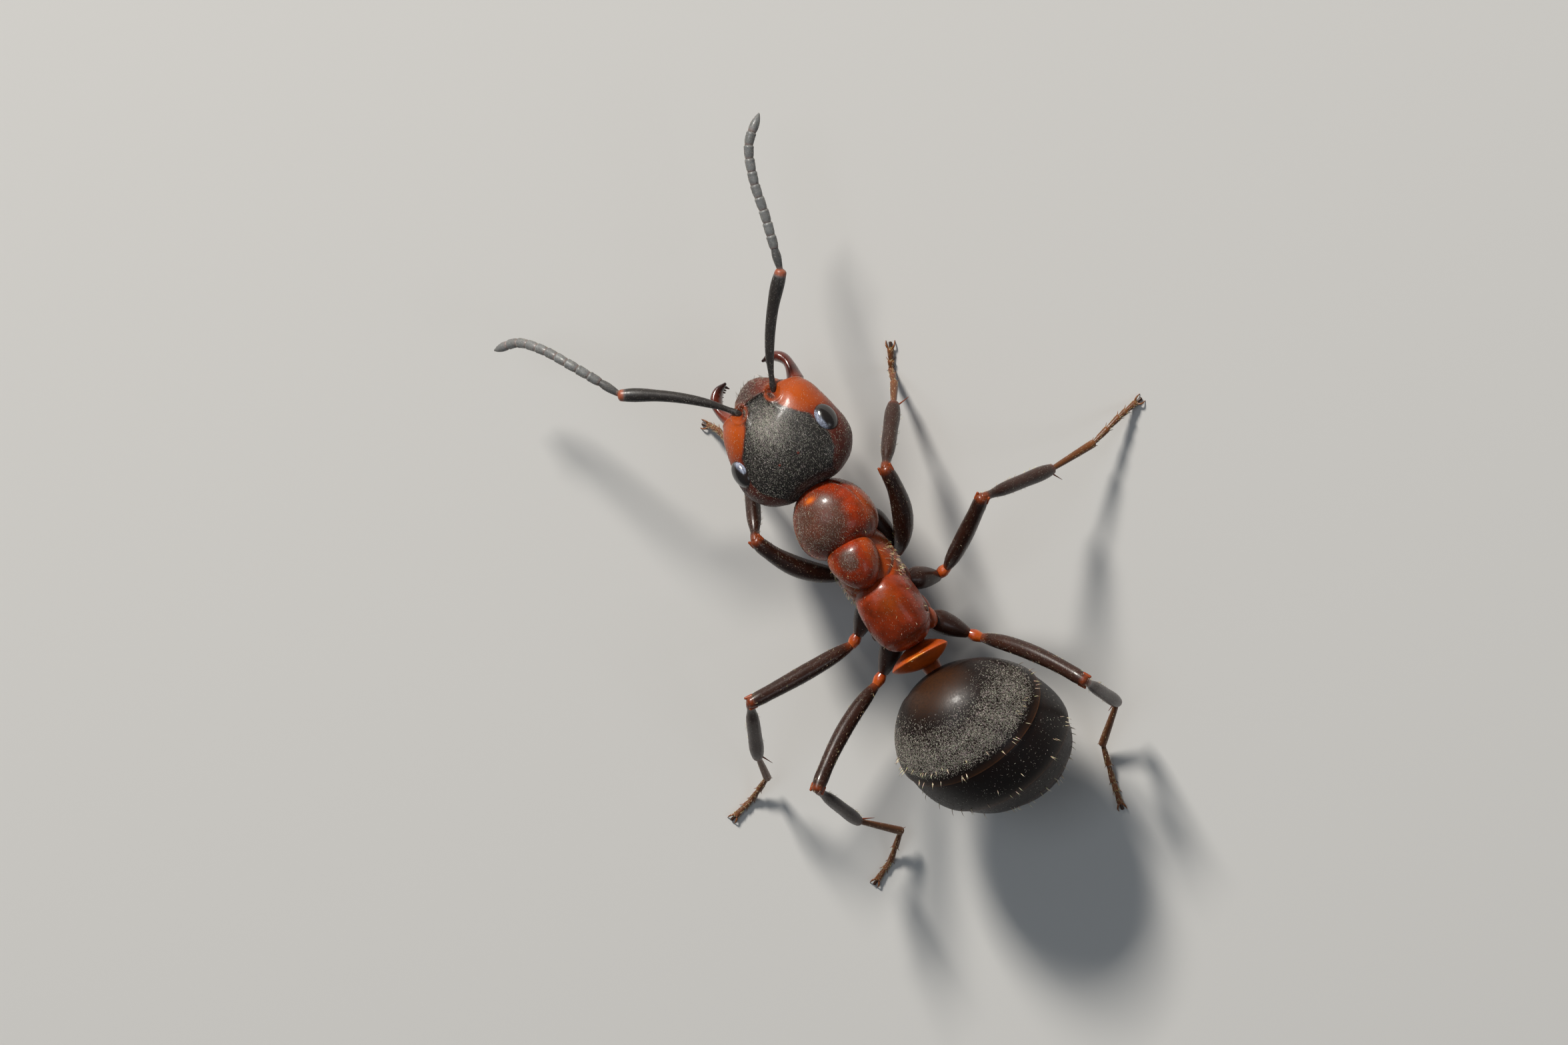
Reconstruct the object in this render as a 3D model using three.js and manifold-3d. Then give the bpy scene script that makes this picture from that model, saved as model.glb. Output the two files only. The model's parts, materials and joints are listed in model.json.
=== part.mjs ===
// A red wood ant worker, standing, at its real size in millimetres.
// Body frame: +X is the ant's left, -Y is ahead, +Z is up, and the floor is z = 0.
// Every piece is first made whole, then carved by its neighbours grown by GAP, so thin cuts part them.
import * as THREE from 'three';
import { mergeVertices } from 'three/addons/utils/BufferGeometryUtils.js';
import Module from 'manifold-3d';

const wasm = await Module();
wasm.setup();

// ---------------------------------------------------------------- driving dimensions

const GAP = 0.05; // thin cut between touching pieces
const FRAME_ORIGIN = [-0.15, -0.83]; // middle of the footprint, in the body frame
const FOOT_AXIS_HEIGHT = 0.05; // height of the last foot joint's axis in life
const FOOT_CORE_HEIGHT = 0.12; // lowest the thick core of a foot is carried, so that it has a flat
const CLAW_REACH = 0.16; // claws ahead of the last foot joint, along the floor

// Head
const HEAD_AT = [0.09, -2.77, 2.25];
const HEAD_TURN = 4; // degrees to the ant's left
const HEAD_DROOP = 18; // degrees, face down
const HEAD_HALF = { length: 1.1, height: 0.63 };
// Half width of the head at places along it: clypeus, the step to the cheeks' front corners, eyes, occiput
const HEAD_PLAN = [
  [-1.1, 0.06],
  [-1.0, 0.27],
  [-0.86, 0.47],
  [-0.77, 0.58],
  [-0.69, 0.76],
  [-0.5, 0.88],
  [-0.27, 0.95],
  [0.1, 1.03],
  [0.38, 1.07],
  [0.6, 1.04],
  [0.8, 0.93],
  [0.95, 0.78],
  [1.1, 0.5],
];
const HEAD_END_POWER = 14; // how late the plan closes at its two ends
const HEAD_SIDE_POWER = 2.3; // how full the head is, seen from the side
const HEAD_SECTION_POWER = 2.4;
const HEAD_MOUTH_SLIM = 0.38; // how much slimmer the mouth end is, from the side
const CLYPEUS_DROP = 0.13;
const EYE_AT = [0.87, 0.25, 0.35];
const EYE_HALF = [0.14, 0.25, 0.2];
const EYE_RISE = 40; // degrees that the eye looks up from straight out
const MANDIBLE = { thick: 0.3, tipThick: 0.18, deepen: 1.45 };
const MANDIBLE_OPEN = { r: 0, l: 9 }; // degrees that each jaw is swung in from wide open
const MANDIBLE_BASE = [0.66, -0.72, -0.24];
const MANDIBLE_BENDS = [
  [0.7, -0.93, -0.25],
  [0.69, -1.09, -0.27],
  [0.62, -1.21, -0.29],
  [0.5, -1.29, -0.3],
  [0.34, -1.31, -0.31],
];
const MOUTH_AT = [0, -0.72, -0.42];
const MOUTH_HALF = [0.42, 0.3, 0.22];

// Antennae: lengths, thickness of the solid, and the outward heading and pitch of each length
const SCAPE_LENGTH = 2.05;
const PEDICEL_LENGTH = 0.42;
const FLAGELLUM_LENGTHS = [0.6, 0.6, 0.6, 0.55];
const FLAGELLUM_RINGS = 10;
const BEAD_DEPTH = 0.04; // waist between two rings, as a part of their thickness
const SCAPE_THICK = [0.42, 0.5];
const SCAPE_BOW = -0.12; // bend of the first antenna length, towards the middle and ahead
const FUNICULUS_THICK = 0.46;
const ANTENNA_SOCKET = { r: [-0.21, -3.5, 2.35], l: [0.49, -3.43, 2.35] };
const ANTENNA_POSE = {
  r: { scape: [35, 2], pedicel: [17, 2], flagellum: [[15, -4], [13, -4], [23, -7], [48, -18]] },
  l: { scape: [50, 2], pedicel: [28, -3], flagellum: [[31, -10], [38, -30], [52, -36], [82, -31]] },
};

// Trunk plates: middle, half width, half length and half height, and the nose-down tilt in degrees
const NECK = { from: [0.08, -2.0, 2.12], to: [0.05, -1.45, 2.2], thick: 0.56 };
const PRONOTUM = { at: [0.06, -1.12, 2.36], half: [0.7, 0.68, 0.7], tilt: 18, taper: 0.16, power: 2.2 };
const MESONOTUM = { at: [0.06, -0.3, 2.72], half: [0.43, 0.47, 0.42], tilt: -8, taper: -0.28, power: 2.2 };
const MESOPLEURA = { at: [0.03, -0.05, 2.16], half: [0.53, 0.78, 0.62], tilt: 0, taper: 0.0, power: 2.4 };
const PROPODEUM = { at: [0.02, 0.71, 2.32], half: [0.54, 0.74, 0.6], tilt: -14, taper: 0.05, power: 2.7 };

// Petiole
const PETIOLE_AT = [0.05, 1.7, 1.95];
const SCALE = {
  width: 1.08,
  height: 0.72,
  foot: 0.56, // thickness at the stalk
  crest: 0.16, // thickness at the top
  lean: 8, // degrees, towards the gaster
  notch: 0.05,
  stalk: 0.4,
  root: 0.3,
};
// How its sides swell from the stalk, and the corner that each shoulder is rounded towards,
// as parts of half its width and of its height
const SCALE_FLARE = [[0.7, 0], [1.05, 0.35]];
const SCALE_SHOULDER = 0.6; // height of its widest point
const SCALE_SWELL = 3; // how convex its front and rear faces are
const SCALE_ROUND = [0.85, 0.98];
const PEDUNCLE = { from: [0.03, 1.3, 1.98], to: [0.03, 2.3, 1.95], thick: 0.42 };

// Gaster: the cuts are fractions of its length from the front
const GASTER_AT = [-0.01, 3.46, 1.93];
const GASTER_HALF = { width: 1.395, length: 1.52, height: 1.2 };
const GASTER_DROOP = 33; // degrees, hind end down
const GASTER_TURN = 2; // degrees to the ant's right
const GASTER_BEND = 0.3; // how far the hind end is bent to the right
const GASTER_CUTS = [0, 0.375, 0.66, 0.83, 0.93, 1];
const GASTER_EGG = 0.1; // how far its widest point lies ahead of the middle
const GASTER_STEP = 0.03; // each plate's rim stands this far over the next one

// Legs: segment lengths and the thickness of each segment's solid
const LEGS = {
  fore: {
    hip: [0.38, -0.85, 1.8],
    lengths: { coxa: 0.9, trochanter: 0.2, femur: 1.95, tibia: 1.5, tarsus: [0.7, 0.5, 0.35] },
    coxaThick: [0.54, 0.4],
    femurBow: 0.17,
  },
  mid: {
    hip: [0.38, 0.5, 1.72],
    lengths: { coxa: 0.66, trochanter: 0.24, femur: 2.05, tibia: 1.75, tarsus: [0.95, 0.65, 0.4] },
    coxaThick: [0.5, 0.38],
    femurBow: 0.02,
  },
  hind: {
    hip: [0.34, 1.25, 1.72],
    lengths: { coxa: 0.72, trochanter: 0.26, femur: 2.2, tibia: 1.95, tarsus: [1.05, 0.75, 0.4] },
    coxaThick: [0.52, 0.38],
    femurBow: -0.1,
  },
};
const TROCHANTER_THICK = 0.4;
const FEMUR_THICK = [0.44, 0.56, 0.5]; // at the trochanter, in the belly, at the knee
const TIBIA_THICK = [0.42, 0.52];
const TARSUS_THICK = [0.48, 0.44];

// Outward heading (0 is ahead, 90 is straight out) and pitch of each leg segment, in degrees
const LEG_POSE = {
  fore_r: { coxa: [177, -35], trochanter: [-173, 20], femur: [27, 32], tibia: [33, -55],
    tarsus: [[20, -68], [-1, -70], [29, 0]] },
  fore_l: { coxa: [176, -36], trochanter: [119, -8], femur: [30, 33], tibia: [-20, -47],
    tarsus: [[16, -42], [28, -52], [51, -58]] },
  mid_r: { coxa: [129, -48], trochanter: [78, 10], femur: [57, 37], tibia: [109, -52],
    tarsus: [[94, -38], [77, -26], [83, -30]] },
  mid_l: { coxa: [129, -14], trochanter: [119, 1], femur: [86, 25], tibia: [148, -46],
    tarsus: [[157, -54], [116, -32], [105, -2]] },
  hind_r: { coxa: [148, -19], trochanter: [141, -1], femur: [136, 29], tibia: [-178, -64],
    tarsus: [[-130, -31], [-162, -16], [-167, 0]] },
  hind_l: { coxa: [130, -17], trochanter: [121, 8], femur: [119, 35], tibia: [179, -57],
    tarsus: [[-148, -45], [130, -30], [115, 0]] },
};

// Fineness of the facets, as [round the piece, along it]
const FINE = {
  head: [24, 14],
  eye: [12, 6],
  mouth: [10, 4],
  mandible: [8, 8],
  plate: [18, 9],
  neck: [12, 4],
  peduncle: [10, 4],
  gaster: [22, 5],
  coxa: [10, 5],
  femur: [10, 8],
  limb: [8, 6],
  joint: [8, 4],
  foot: [8, 9],
};
const SCALE_CURVE_STEPS = 5;

// ---------------------------------------------------------------- shared tools

const SIDES = { l: 1, r: -1 };
const rad = THREE.MathUtils.degToRad;
const lerp = THREE.MathUtils.lerp;
const vec = (p) => new THREE.Vector3(...p);

// Unit vector on a side of the ant, from an outward heading and a pitch
function direction([heading, pitch], side) {
  const flat = Math.cos(rad(pitch));
  const out = Math.sin(rad(heading)) * flat;
  const ahead = Math.cos(rad(heading)) * flat;
  return new THREE.Vector3(side * out, -ahead, Math.sin(rad(pitch)));
}

// A closed surface: place(v, angle) gives its points, v running from -1 in front to 1 behind,
// and the angle going round from the left side over the back
function closedSurface([around, along], place) {
  const shape = new THREE.SphereGeometry(1, around, along);
  const points = shape.attributes.position;
  for (let i = 0; i < points.count; i++) {
    const unit = new THREE.Vector3().fromBufferAttribute(points, i);
    const spot = place(-unit.y, Math.atan2(-unit.z, unit.x), Math.hypot(unit.x, unit.z));
    points.setXYZ(i, spot.x, spot.y, spot.z);
  }
  return shape;
}

// A round-ended limb along a curve; radiusAt(t) is its half thickness, t from 0 to 1
const LIMB_END_POWER = 7;
function limb(curve, radiusAt, fine, grow = 0) {
  return closedSurface(fine, (v, angle) => {
    const t = (v + 1) / 2;
    const spot = curve.getPoint(t);
    const ahead = curve.getTangent(t);
    spot.addScaledVector(ahead, v * grow);
    const side = new THREE.Vector3(0, 0, 1).cross(ahead).normalize();
    const over = ahead.clone().cross(side);
    const round = Math.pow(Math.max(0, 1 - Math.abs(v) ** LIMB_END_POWER), 1 / LIMB_END_POWER);
    const radius = (radiusAt(t) + grow) * round;
    spot.addScaledVector(side, Math.cos(angle) * -radius);
    return spot.addScaledVector(over, Math.sin(angle) * radius);
  });
}

// An egg-shaped plate of the trunk
function plate({ at, half, tilt, taper, power }, grow = 0) {
  const shape = closedSurface(FINE.plate, (v, angle, waist) => {
    const u = Math.cos(angle) * waist;
    const w = Math.sin(angle) * waist;
    const norm = (Math.abs(u) ** power + Math.abs(v) ** power + Math.abs(w) ** power) ** (-1 / power);
    const wide = (half[0] + grow) * (1 + taper * v * norm);
    return new THREE.Vector3(u * norm * wide, v * norm * (half[1] + grow), w * norm * (half[2] + grow));
  });
  return shape.applyMatrix4(new THREE.Matrix4().makeRotationX(rad(tilt)).setPosition(...at));
}

// Straight or bent path through given points
function path(points) {
  return points.length === 2 ? new THREE.LineCurve3(...points) : new THREE.CatmullRomCurve3(points);
}

// A path that bends sideways, outward and back where the bow is positive
const BOW_AT = 0.45; // where the bend is, as a part of the path
function bowed(from, to, heading, bow, side) {
  const bend = direction([heading + 90, 0], side).multiplyScalar(2 * bow);
  return new THREE.QuadraticBezierCurve3(from, from.clone().lerp(to, BOW_AT).add(bend), to);
}

function taperTo(thick) {
  return (t) => lerp(thick[0], thick[1], t) / 2;
}

// ---------------------------------------------------------------- head

const headFrame = new THREE.Matrix4()
  .makeRotationZ(rad(HEAD_TURN))
  .multiply(new THREE.Matrix4().makeRotationX(rad(HEAD_DROOP)))
  .setPosition(...HEAD_AT);

function headHalfWidth(y) {
  const last = HEAD_PLAN.length - 1;
  const next = Math.min(last, Math.max(1, HEAD_PLAN.findIndex(([at]) => at >= y)));
  const [from, wideFrom] = HEAD_PLAN[next - 1];
  const [to, wideTo] = HEAD_PLAN[next];
  return lerp(wideFrom, wideTo, (y - from) / (to - from));
}

// Capsule: the clypeus stands out between two cheek corners, and the section is a rounded box
function headCapsule(grow = 0) {
  const round = (x, power) => Math.pow(Math.max(0, 1 - Math.abs(x) ** power), 1 / power);
  const shape = closedSurface(FINE.head, (v, angle) => {
    const wide = (headHalfWidth(v * HEAD_HALF.length) + grow) * round(v, HEAD_END_POWER);
    const mouthward = Math.max(0, -v) ** 2;
    const high = (HEAD_HALF.height + grow) * round(v, HEAD_SIDE_POWER) * (1 - HEAD_MOUTH_SLIM * mouthward);
    const c = Math.cos(angle);
    const s = Math.sin(angle);
    const power = HEAD_SECTION_POWER;
    const norm = (Math.abs(c) ** power + Math.abs(s) ** power) ** (-1 / power);
    const z = s * norm * high - CLYPEUS_DROP * mouthward;
    return new THREE.Vector3(c * norm * wide, v * (HEAD_HALF.length + grow), z);
  });
  return shape.applyMatrix4(headFrame);
}

function eye(side, grow = 0) {
  const shape = new THREE.SphereGeometry(1, ...FINE.eye);
  shape.rotateZ(Math.PI / 2);
  shape.scale(EYE_HALF[0] + grow, EYE_HALF[1] + grow, EYE_HALF[2] + grow);
  shape.rotateY(-side * rad(EYE_RISE));
  shape.translate(side * EYE_AT[0], EYE_AT[1], EYE_AT[2]);
  return shape.applyMatrix4(headFrame);
}

// A sickle-like jaw that curves out, ahead and back in, swung at its base
function mandible(name, grow = 0) {
  const side = SIDES[name];
  const onSide = ([x, y, z]) => new THREE.Vector3(side * x, y, z);
  const base = onSide(MANDIBLE_BASE);
  const swing = new THREE.Matrix4().makeRotationZ(side * rad(MANDIBLE_OPEN[name]));
  const bends = MANDIBLE_BENDS.map((bend) => onSide(bend).sub(base).applyMatrix4(swing).add(base));
  const curve = new THREE.CatmullRomCurve3([base, ...bends].map((p) => p.applyMatrix4(headFrame)));
  const shape = limb(curve, taperTo([MANDIBLE.thick, MANDIBLE.tipThick]), FINE.mandible, grow);
  const middle = curve.getPoint(0.5);
  shape.translate(-middle.x, -middle.y, -middle.z);
  shape.scale(1, 1, MANDIBLE.deepen);
  return shape.translate(middle.x, middle.y, middle.z);
}

function mouthparts(grow = 0) {
  const shape = new THREE.SphereGeometry(1, ...FINE.mouth);
  shape.scale(...MOUTH_HALF.map((half) => half + grow));
  shape.translate(...MOUTH_AT);
  return shape.applyMatrix4(headFrame);
}

// ---------------------------------------------------------------- antennae

function antennaJoints(name) {
  const side = SIDES[name];
  const pose = ANTENNA_POSE[name];
  const joints = [vec(ANTENNA_SOCKET[name])];
  const lengths = [SCAPE_LENGTH, PEDICEL_LENGTH, ...FLAGELLUM_LENGTHS];
  [pose.scape, pose.pedicel, ...pose.flagellum].forEach((turn, i) => {
    joints.push(joints[i].clone().addScaledVector(direction(turn, side), lengths[i]));
  });
  return joints;
}

function scape(name, grow = 0) {
  const [from, to] = antennaJoints(name);
  const curve = bowed(from, to, ANTENNA_POSE[name].scape[0], SCAPE_BOW, SIDES[name]);
  return limb(curve, taperTo(SCAPE_THICK), FINE.limb, grow);
}

function pedicel(name, grow = 0) {
  return limb(path(antennaJoints(name).slice(1, 3)), () => FUNICULUS_THICK / 2, FINE.joint, grow);
}

function flagellum(name, grow = 0) {
  const bead = (t) => BEAD_DEPTH * Math.cos(2 * Math.PI * FLAGELLUM_RINGS * t);
  const beaded = (t) => (FUNICULUS_THICK / 2) * (1 - bead(t));
  return limb(path(antennaJoints(name).slice(2)), beaded, [FINE.joint[0], 2 * FLAGELLUM_RINGS], grow);
}

// ---------------------------------------------------------------- trunk, petiole and gaster

function neck(grow = 0) {
  return limb(path([vec(NECK.from), vec(NECK.to)]), () => NECK.thick / 2, FINE.neck, grow);
}

// The scale: a wedge on the narrow stalk, rounded at the shoulders, with a faint notch in its crest
function petioleScale(grow = 0) {
  const half = SCALE.width / 2 + grow;
  const top = SCALE.height + grow;
  const stalk = SCALE.stalk / 2 + grow;
  const root = -SCALE.root - grow;
  const at = ([across, up], side) => [side * across * half, up * top];
  const [low, high] = SCALE_FLARE;
  const outline = new THREE.Shape();
  outline.moveTo(-stalk, root);
  outline.lineTo(stalk, root);
  outline.bezierCurveTo(...at(low, 1), ...at(high, 1), ...at([1, SCALE_SHOULDER], 1));
  outline.quadraticCurveTo(...at(SCALE_ROUND, 1), 0, top - SCALE.notch);
  outline.quadraticCurveTo(...at(SCALE_ROUND, -1), ...at([1, SCALE_SHOULDER], -1));
  outline.bezierCurveTo(...at(high, -1), ...at(low, -1), -stalk, root);
  const blank = { depth: 1, bevelEnabled: false, curveSegments: SCALE_CURVE_STEPS };
  const shape = new THREE.ExtrudeGeometry(outline, blank);
  shape.translate(0, 0, -1 / 2);
  const points = shape.attributes.position;
  for (let i = 0; i < points.count; i++) {
    const up = THREE.MathUtils.clamp(points.getY(i) / SCALE.height, 0, 1);
    const thick = lerp(SCALE.foot, SCALE.crest, up ** SCALE_SWELL) + 2 * grow;
    points.setZ(i, points.getZ(i) * thick);
  }
  shape.rotateX(Math.PI / 2 + rad(SCALE.lean));
  return shape.translate(...PETIOLE_AT);
}

function peduncle(grow = 0) {
  return limb(path([vec(PEDUNCLE.from), vec(PEDUNCLE.to)]), () => PEDUNCLE.thick / 2, FINE.peduncle, grow);
}

const gasterFrame = new THREE.Matrix4()
  .makeRotationZ(rad(GASTER_TURN))
  .multiply(new THREE.Matrix4().makeRotationX(-rad(GASTER_DROOP)))
  .setPosition(...GASTER_AT);

// Half thickness of the gaster at a fraction of its length: an egg with its point behind
function gasterProfile(f) {
  const v = 2 * f - 1;
  return Math.sqrt(Math.max(0, 1 - v ** 2)) * (1 - GASTER_EGG * v ** 3);
}

// One plate ring of the gaster, numbered from the front; its hind rim stands proud
function gasterSegment(index, grow = 0) {
  const first = GASTER_CUTS[index];
  const last = GASTER_CUTS[index + 1];
  const length = 2 * GASTER_HALF.length;
  const start = first + (first > 0 ? GAP / length : 0);
  const profile = [];
  const steps = FINE.gaster[1];
  for (let k = 0; k <= steps; k++) {
    const f = lerp(start, last, first === 0 ? 1 - Math.cos((k / steps) * Math.PI / 2) : k / steps);
    const rim = last < 1 ? GASTER_STEP * (k / steps) ** 3 : 0;
    const poles = f === 0 || f === 1;
    profile.push(new THREE.Vector2(poles ? 0 : gasterProfile(f) + rim + grow, (f - 0.5) * length));
  }
  if (first > 0) profile.unshift(new THREE.Vector2(0, (start - 0.5) * length));
  if (last < 1) profile.push(new THREE.Vector2(0, (last - 0.5) * length));
  const shape = new THREE.LatheGeometry(profile, FINE.gaster[0]);
  shape.scale(GASTER_HALF.width, 1, GASTER_HALF.height);
  const points = shape.attributes.position;
  for (let i = 0; i < points.count; i++) {
    const f = points.getY(i) / length + 0.5;
    points.setX(i, points.getX(i) - GASTER_BEND * f ** 2);
  }
  return shape.applyMatrix4(gasterFrame);
}

// ---------------------------------------------------------------- legs

// Joints from the hip to the claw tips; the last foot joint is set down on the floor
function legJoints(name) {
  const [kind, sideName] = name.split('_');
  const side = SIDES[sideName];
  const { hip, lengths } = LEGS[kind];
  const pose = LEG_POSE[name];
  const joints = [new THREE.Vector3(side * hip[0], hip[1], hip[2])];
  const step = (turn, length) => {
    joints.push(joints.at(-1).clone().addScaledVector(direction(turn, side), length));
  };
  ['coxa', 'trochanter', 'femur', 'tibia'].forEach((segment) => step(pose[segment], lengths[segment]));
  pose.tarsus.forEach((turn, i) => step(turn, lengths.tarsus[i]));
  joints.at(-1).z = FOOT_AXIS_HEIGHT;
  step([pose.tarsus.at(-1)[0], 0], CLAW_REACH);
  return joints;
}

function coxa(name, grow = 0) {
  const thick = LEGS[name.split('_')[0]].coxaThick;
  return limb(path(legJoints(name).slice(0, 2)), taperTo(thick), FINE.coxa, grow);
}

function trochanter(name, grow = 0) {
  return limb(path(legJoints(name).slice(1, 3)), () => TROCHANTER_THICK / 2, FINE.joint, grow);
}

function femur(name, grow = 0) {
  const [kind, sideName] = name.split('_');
  const [from, to] = legJoints(name).slice(2, 4);
  const curve = bowed(from, to, LEG_POSE[name].femur[0], LEGS[kind].femurBow, SIDES[sideName]);
  const [root, belly, knee] = FEMUR_THICK;
  const thickAt = (t) => (lerp(root, knee, t) + (belly - (root + knee) / 2) * Math.sin(Math.PI * t)) / 2;
  return limb(curve, thickAt, FINE.femur, grow);
}

function tibia(name, grow = 0) {
  return limb(path(legJoints(name).slice(3, 5)), taperTo(TIBIA_THICK), FINE.limb, grow);
}

// The foot's core is carried just over the floor and its underside is levelled at z = 0
function tarsus(name, grow = 0) {
  const joints = legJoints(name).slice(4);
  joints.forEach((joint) => { joint.z = Math.max(joint.z, FOOT_CORE_HEIGHT); });
  const shape = limb(path(joints), taperTo(TARSUS_THICK), FINE.foot, grow);
  const points = shape.attributes.position;
  for (let i = 0; i < points.count; i++) {
    points.setZ(i, Math.max(points.getZ(i), -grow));
  }
  return shape;
}

// ---------------------------------------------------------------- cutting the pieces apart

const WELD = 1e-4; // points nearer than this are one
function toSolid(geometry) {
  const bare = geometry.clone();
  bare.deleteAttribute('normal');
  bare.deleteAttribute('uv');
  const welded = mergeVertices(bare, WELD);
  return new wasm.Manifold(new wasm.Mesh({
    numProp: 3,
    vertProperties: welded.attributes.position.array,
    triVerts: new Uint32Array(welded.index.array),
  }));
}

function toGeometry(solid) {
  const { vertProperties, triVerts } = solid.getMesh();
  const geometry = new THREE.BufferGeometry();
  geometry.setAttribute('position', new THREE.BufferAttribute(vertProperties, 3));
  geometry.setIndex(new THREE.BufferAttribute(triVerts, 1));
  geometry.computeVertexNormals();
  return geometry;
}

// The largest piece that is left, without slivers finer than the mesh can hold
const SLIVER = 0.004;
function largest(solid) {
  const pieces = solid.decompose().sort((a, b) => b.volume() - a.volume());
  return pieces[0].simplify(SLIVER);
}

// Each piece as a function of how much it is grown, with the neighbours that carve it
const pieces = new Map();
const carvers = new Map();
function piece(name, make, ...neighbours) {
  pieces.set(name, make);
  carvers.set(name, neighbours);
}

const LEG_NAMES = Object.keys(LEG_POSE);

piece('head', headCapsule, 'eye_l', 'eye_r');
for (const name of Object.keys(SIDES)) {
  piece(`eye_${name}`, (grow) => eye(SIDES[name], grow));
  piece(`mandible_${name}`, (grow) => mandible(name, grow), 'head', 'mouthparts');
  piece(`scape_${name}`, (grow) => scape(name, grow), 'head');
  piece(`pedicel_${name}`, (grow) => pedicel(name, grow), `scape_${name}`);
  piece(`flagellum_${name}`, (grow) => flagellum(name, grow), `pedicel_${name}`);
}
piece('mouthparts', mouthparts, 'head');
piece('neck', neck, 'head', 'pronotum');
piece('pronotum', (grow) => plate(PRONOTUM, grow), 'head');
piece('mesonotum', (grow) => plate(MESONOTUM, grow), 'pronotum');
piece('mesopleura', (grow) => plate(MESOPLEURA, grow), 'pronotum', 'mesonotum', 'propodeum');
piece('propodeum', (grow) => plate(PROPODEUM, grow), 'mesonotum');
piece('petiole_scale', petioleScale, 'propodeum');
piece('peduncle', peduncle, 'propodeum', 'petiole_scale', 'gaster_1');
for (let i = 0; i < GASTER_CUTS.length - 1; i++) {
  piece(`gaster_${i + 1}`, (grow) => gasterSegment(i, grow));
}
const TRUNK = ['neck', 'pronotum', 'mesopleura', 'propodeum', 'peduncle', 'petiole_scale'];
for (const name of LEG_NAMES) {
  piece(`trochanter_${name}`, (grow) => trochanter(name, grow));
  piece(`coxa_${name}`, (grow) => coxa(name, grow), ...TRUNK, `trochanter_${name}`);
  piece(`femur_${name}`, (grow) => femur(name, grow), `trochanter_${name}`, `coxa_${name}`);
  piece(`tibia_${name}`, (grow) => tibia(name, grow), `femur_${name}`);
  piece(`tarsus_${name}`, (grow) => tarsus(name, grow), `tibia_${name}`);
}

function finished(name) {
  let solid = toSolid(pieces.get(name)(0));
  for (const neighbour of carvers.get(name)) {
    solid = solid.subtract(toSolid(pieces.get(neighbour)(GAP)));
  }
  return toGeometry(largest(solid));
}

// ---------------------------------------------------------------- materials and assembly

const FINISH = {
  black: { color: 0x2a2522, roughness: 0.4, metalness: 0 },
  red: { color: 0x8a3212, roughness: 0.35, metalness: 0 },
  orange: { color: 0xc05a1a, roughness: 0.35, metalness: 0 },
  brown: { color: 0x3a241c, roughness: 0.4, metalness: 0 },
  eye: { color: 0x0c0c10, roughness: 0.15, metalness: 0 },
};
const FINISH_OF = [
  [/^eye/, 'eye'],
  [/^(petiole|trochanter)/, 'orange'],
  [/^(mandible|neck|mouthparts|pronotum|mesonotum|mesopleura|propodeum|peduncle)/, 'red'],
  [/^(coxa|femur|tibia|tarsus)/, 'brown'],
  [/^/, 'black'],
];

const GROUPS = [
  /^(head|eye|mandible|mouthparts)/,
  /^(scape|pedicel|flagellum)/,
  /^gaster/,
  /_(fore|mid|hind)_/,
  /^/,
];

const ant = new THREE.Group();
const regions = GROUPS.map(() => new THREE.Group());
ant.add(...regions);
for (const name of pieces.keys()) {
  const finish = FINISH_OF.find(([pattern]) => pattern.test(name))[1];
  const mesh = new THREE.Mesh(finished(name), new THREE.MeshStandardMaterial(FINISH[finish]));
  mesh.name = name;
  regions[GROUPS.findIndex((pattern) => pattern.test(name))].add(mesh);
}
ant.position.set(-FRAME_ORIGIN[0], -FRAME_ORIGIN[1], 0);

export default ant;
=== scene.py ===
"""A red wood ant worker, standing: the dressed model.

Lengths are millimetres in the ant's body frame (+X its left, -Y ahead, +Z up, floor at z = 0) until a mesh
is made; place() turns them into the row frame's metres.
"""

import json

import bpy
import numpy as np
from mathutils import Matrix


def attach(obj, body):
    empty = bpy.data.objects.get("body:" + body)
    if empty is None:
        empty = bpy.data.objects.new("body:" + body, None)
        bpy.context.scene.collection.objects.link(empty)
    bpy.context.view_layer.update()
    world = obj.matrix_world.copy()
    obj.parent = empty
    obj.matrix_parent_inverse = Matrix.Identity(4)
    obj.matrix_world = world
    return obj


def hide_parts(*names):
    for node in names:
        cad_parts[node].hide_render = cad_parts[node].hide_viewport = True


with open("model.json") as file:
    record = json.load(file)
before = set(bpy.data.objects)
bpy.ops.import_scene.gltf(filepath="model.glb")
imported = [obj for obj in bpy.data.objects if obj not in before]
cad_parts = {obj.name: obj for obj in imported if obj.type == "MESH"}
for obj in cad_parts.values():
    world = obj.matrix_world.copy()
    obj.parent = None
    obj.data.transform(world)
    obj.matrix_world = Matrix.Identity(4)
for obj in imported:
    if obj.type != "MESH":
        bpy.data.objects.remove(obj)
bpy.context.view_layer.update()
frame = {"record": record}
RNG = np.random.default_rng(11)

# ---------------------------------------------------------------- camera and photograph

MM = 0.001
IMAGE = np.array([2352, 1568])
FRAME_ORIGIN = np.array([-0.15, -0.83, 0.0])  # the row frame's origin, in the body frame
CAMERA_ROLL = 31.5  # degrees from the picture's axes to the ant's
CAMERA_TILT = 13.0  # degrees from straight down
CAMERA_TILT_TOWARDS = 27.0  # degrees round from the ant's tail
CAMERA_FOCUS = 2.2  # height of the plane in focus
PIXELS_PER_MM = 88.6  # in that plane
CAMERA_DISTANCE = 172.0
BODY_AT_PIXEL = np.array([1300, 860])  # where the body frame's axis meets that plane
BODY_ASIDE = 0.1  # the trunk's middle is that far to the right of it
SENSOR = 36.0

# ---------------------------------------------------------------- driving dimensions

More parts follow.
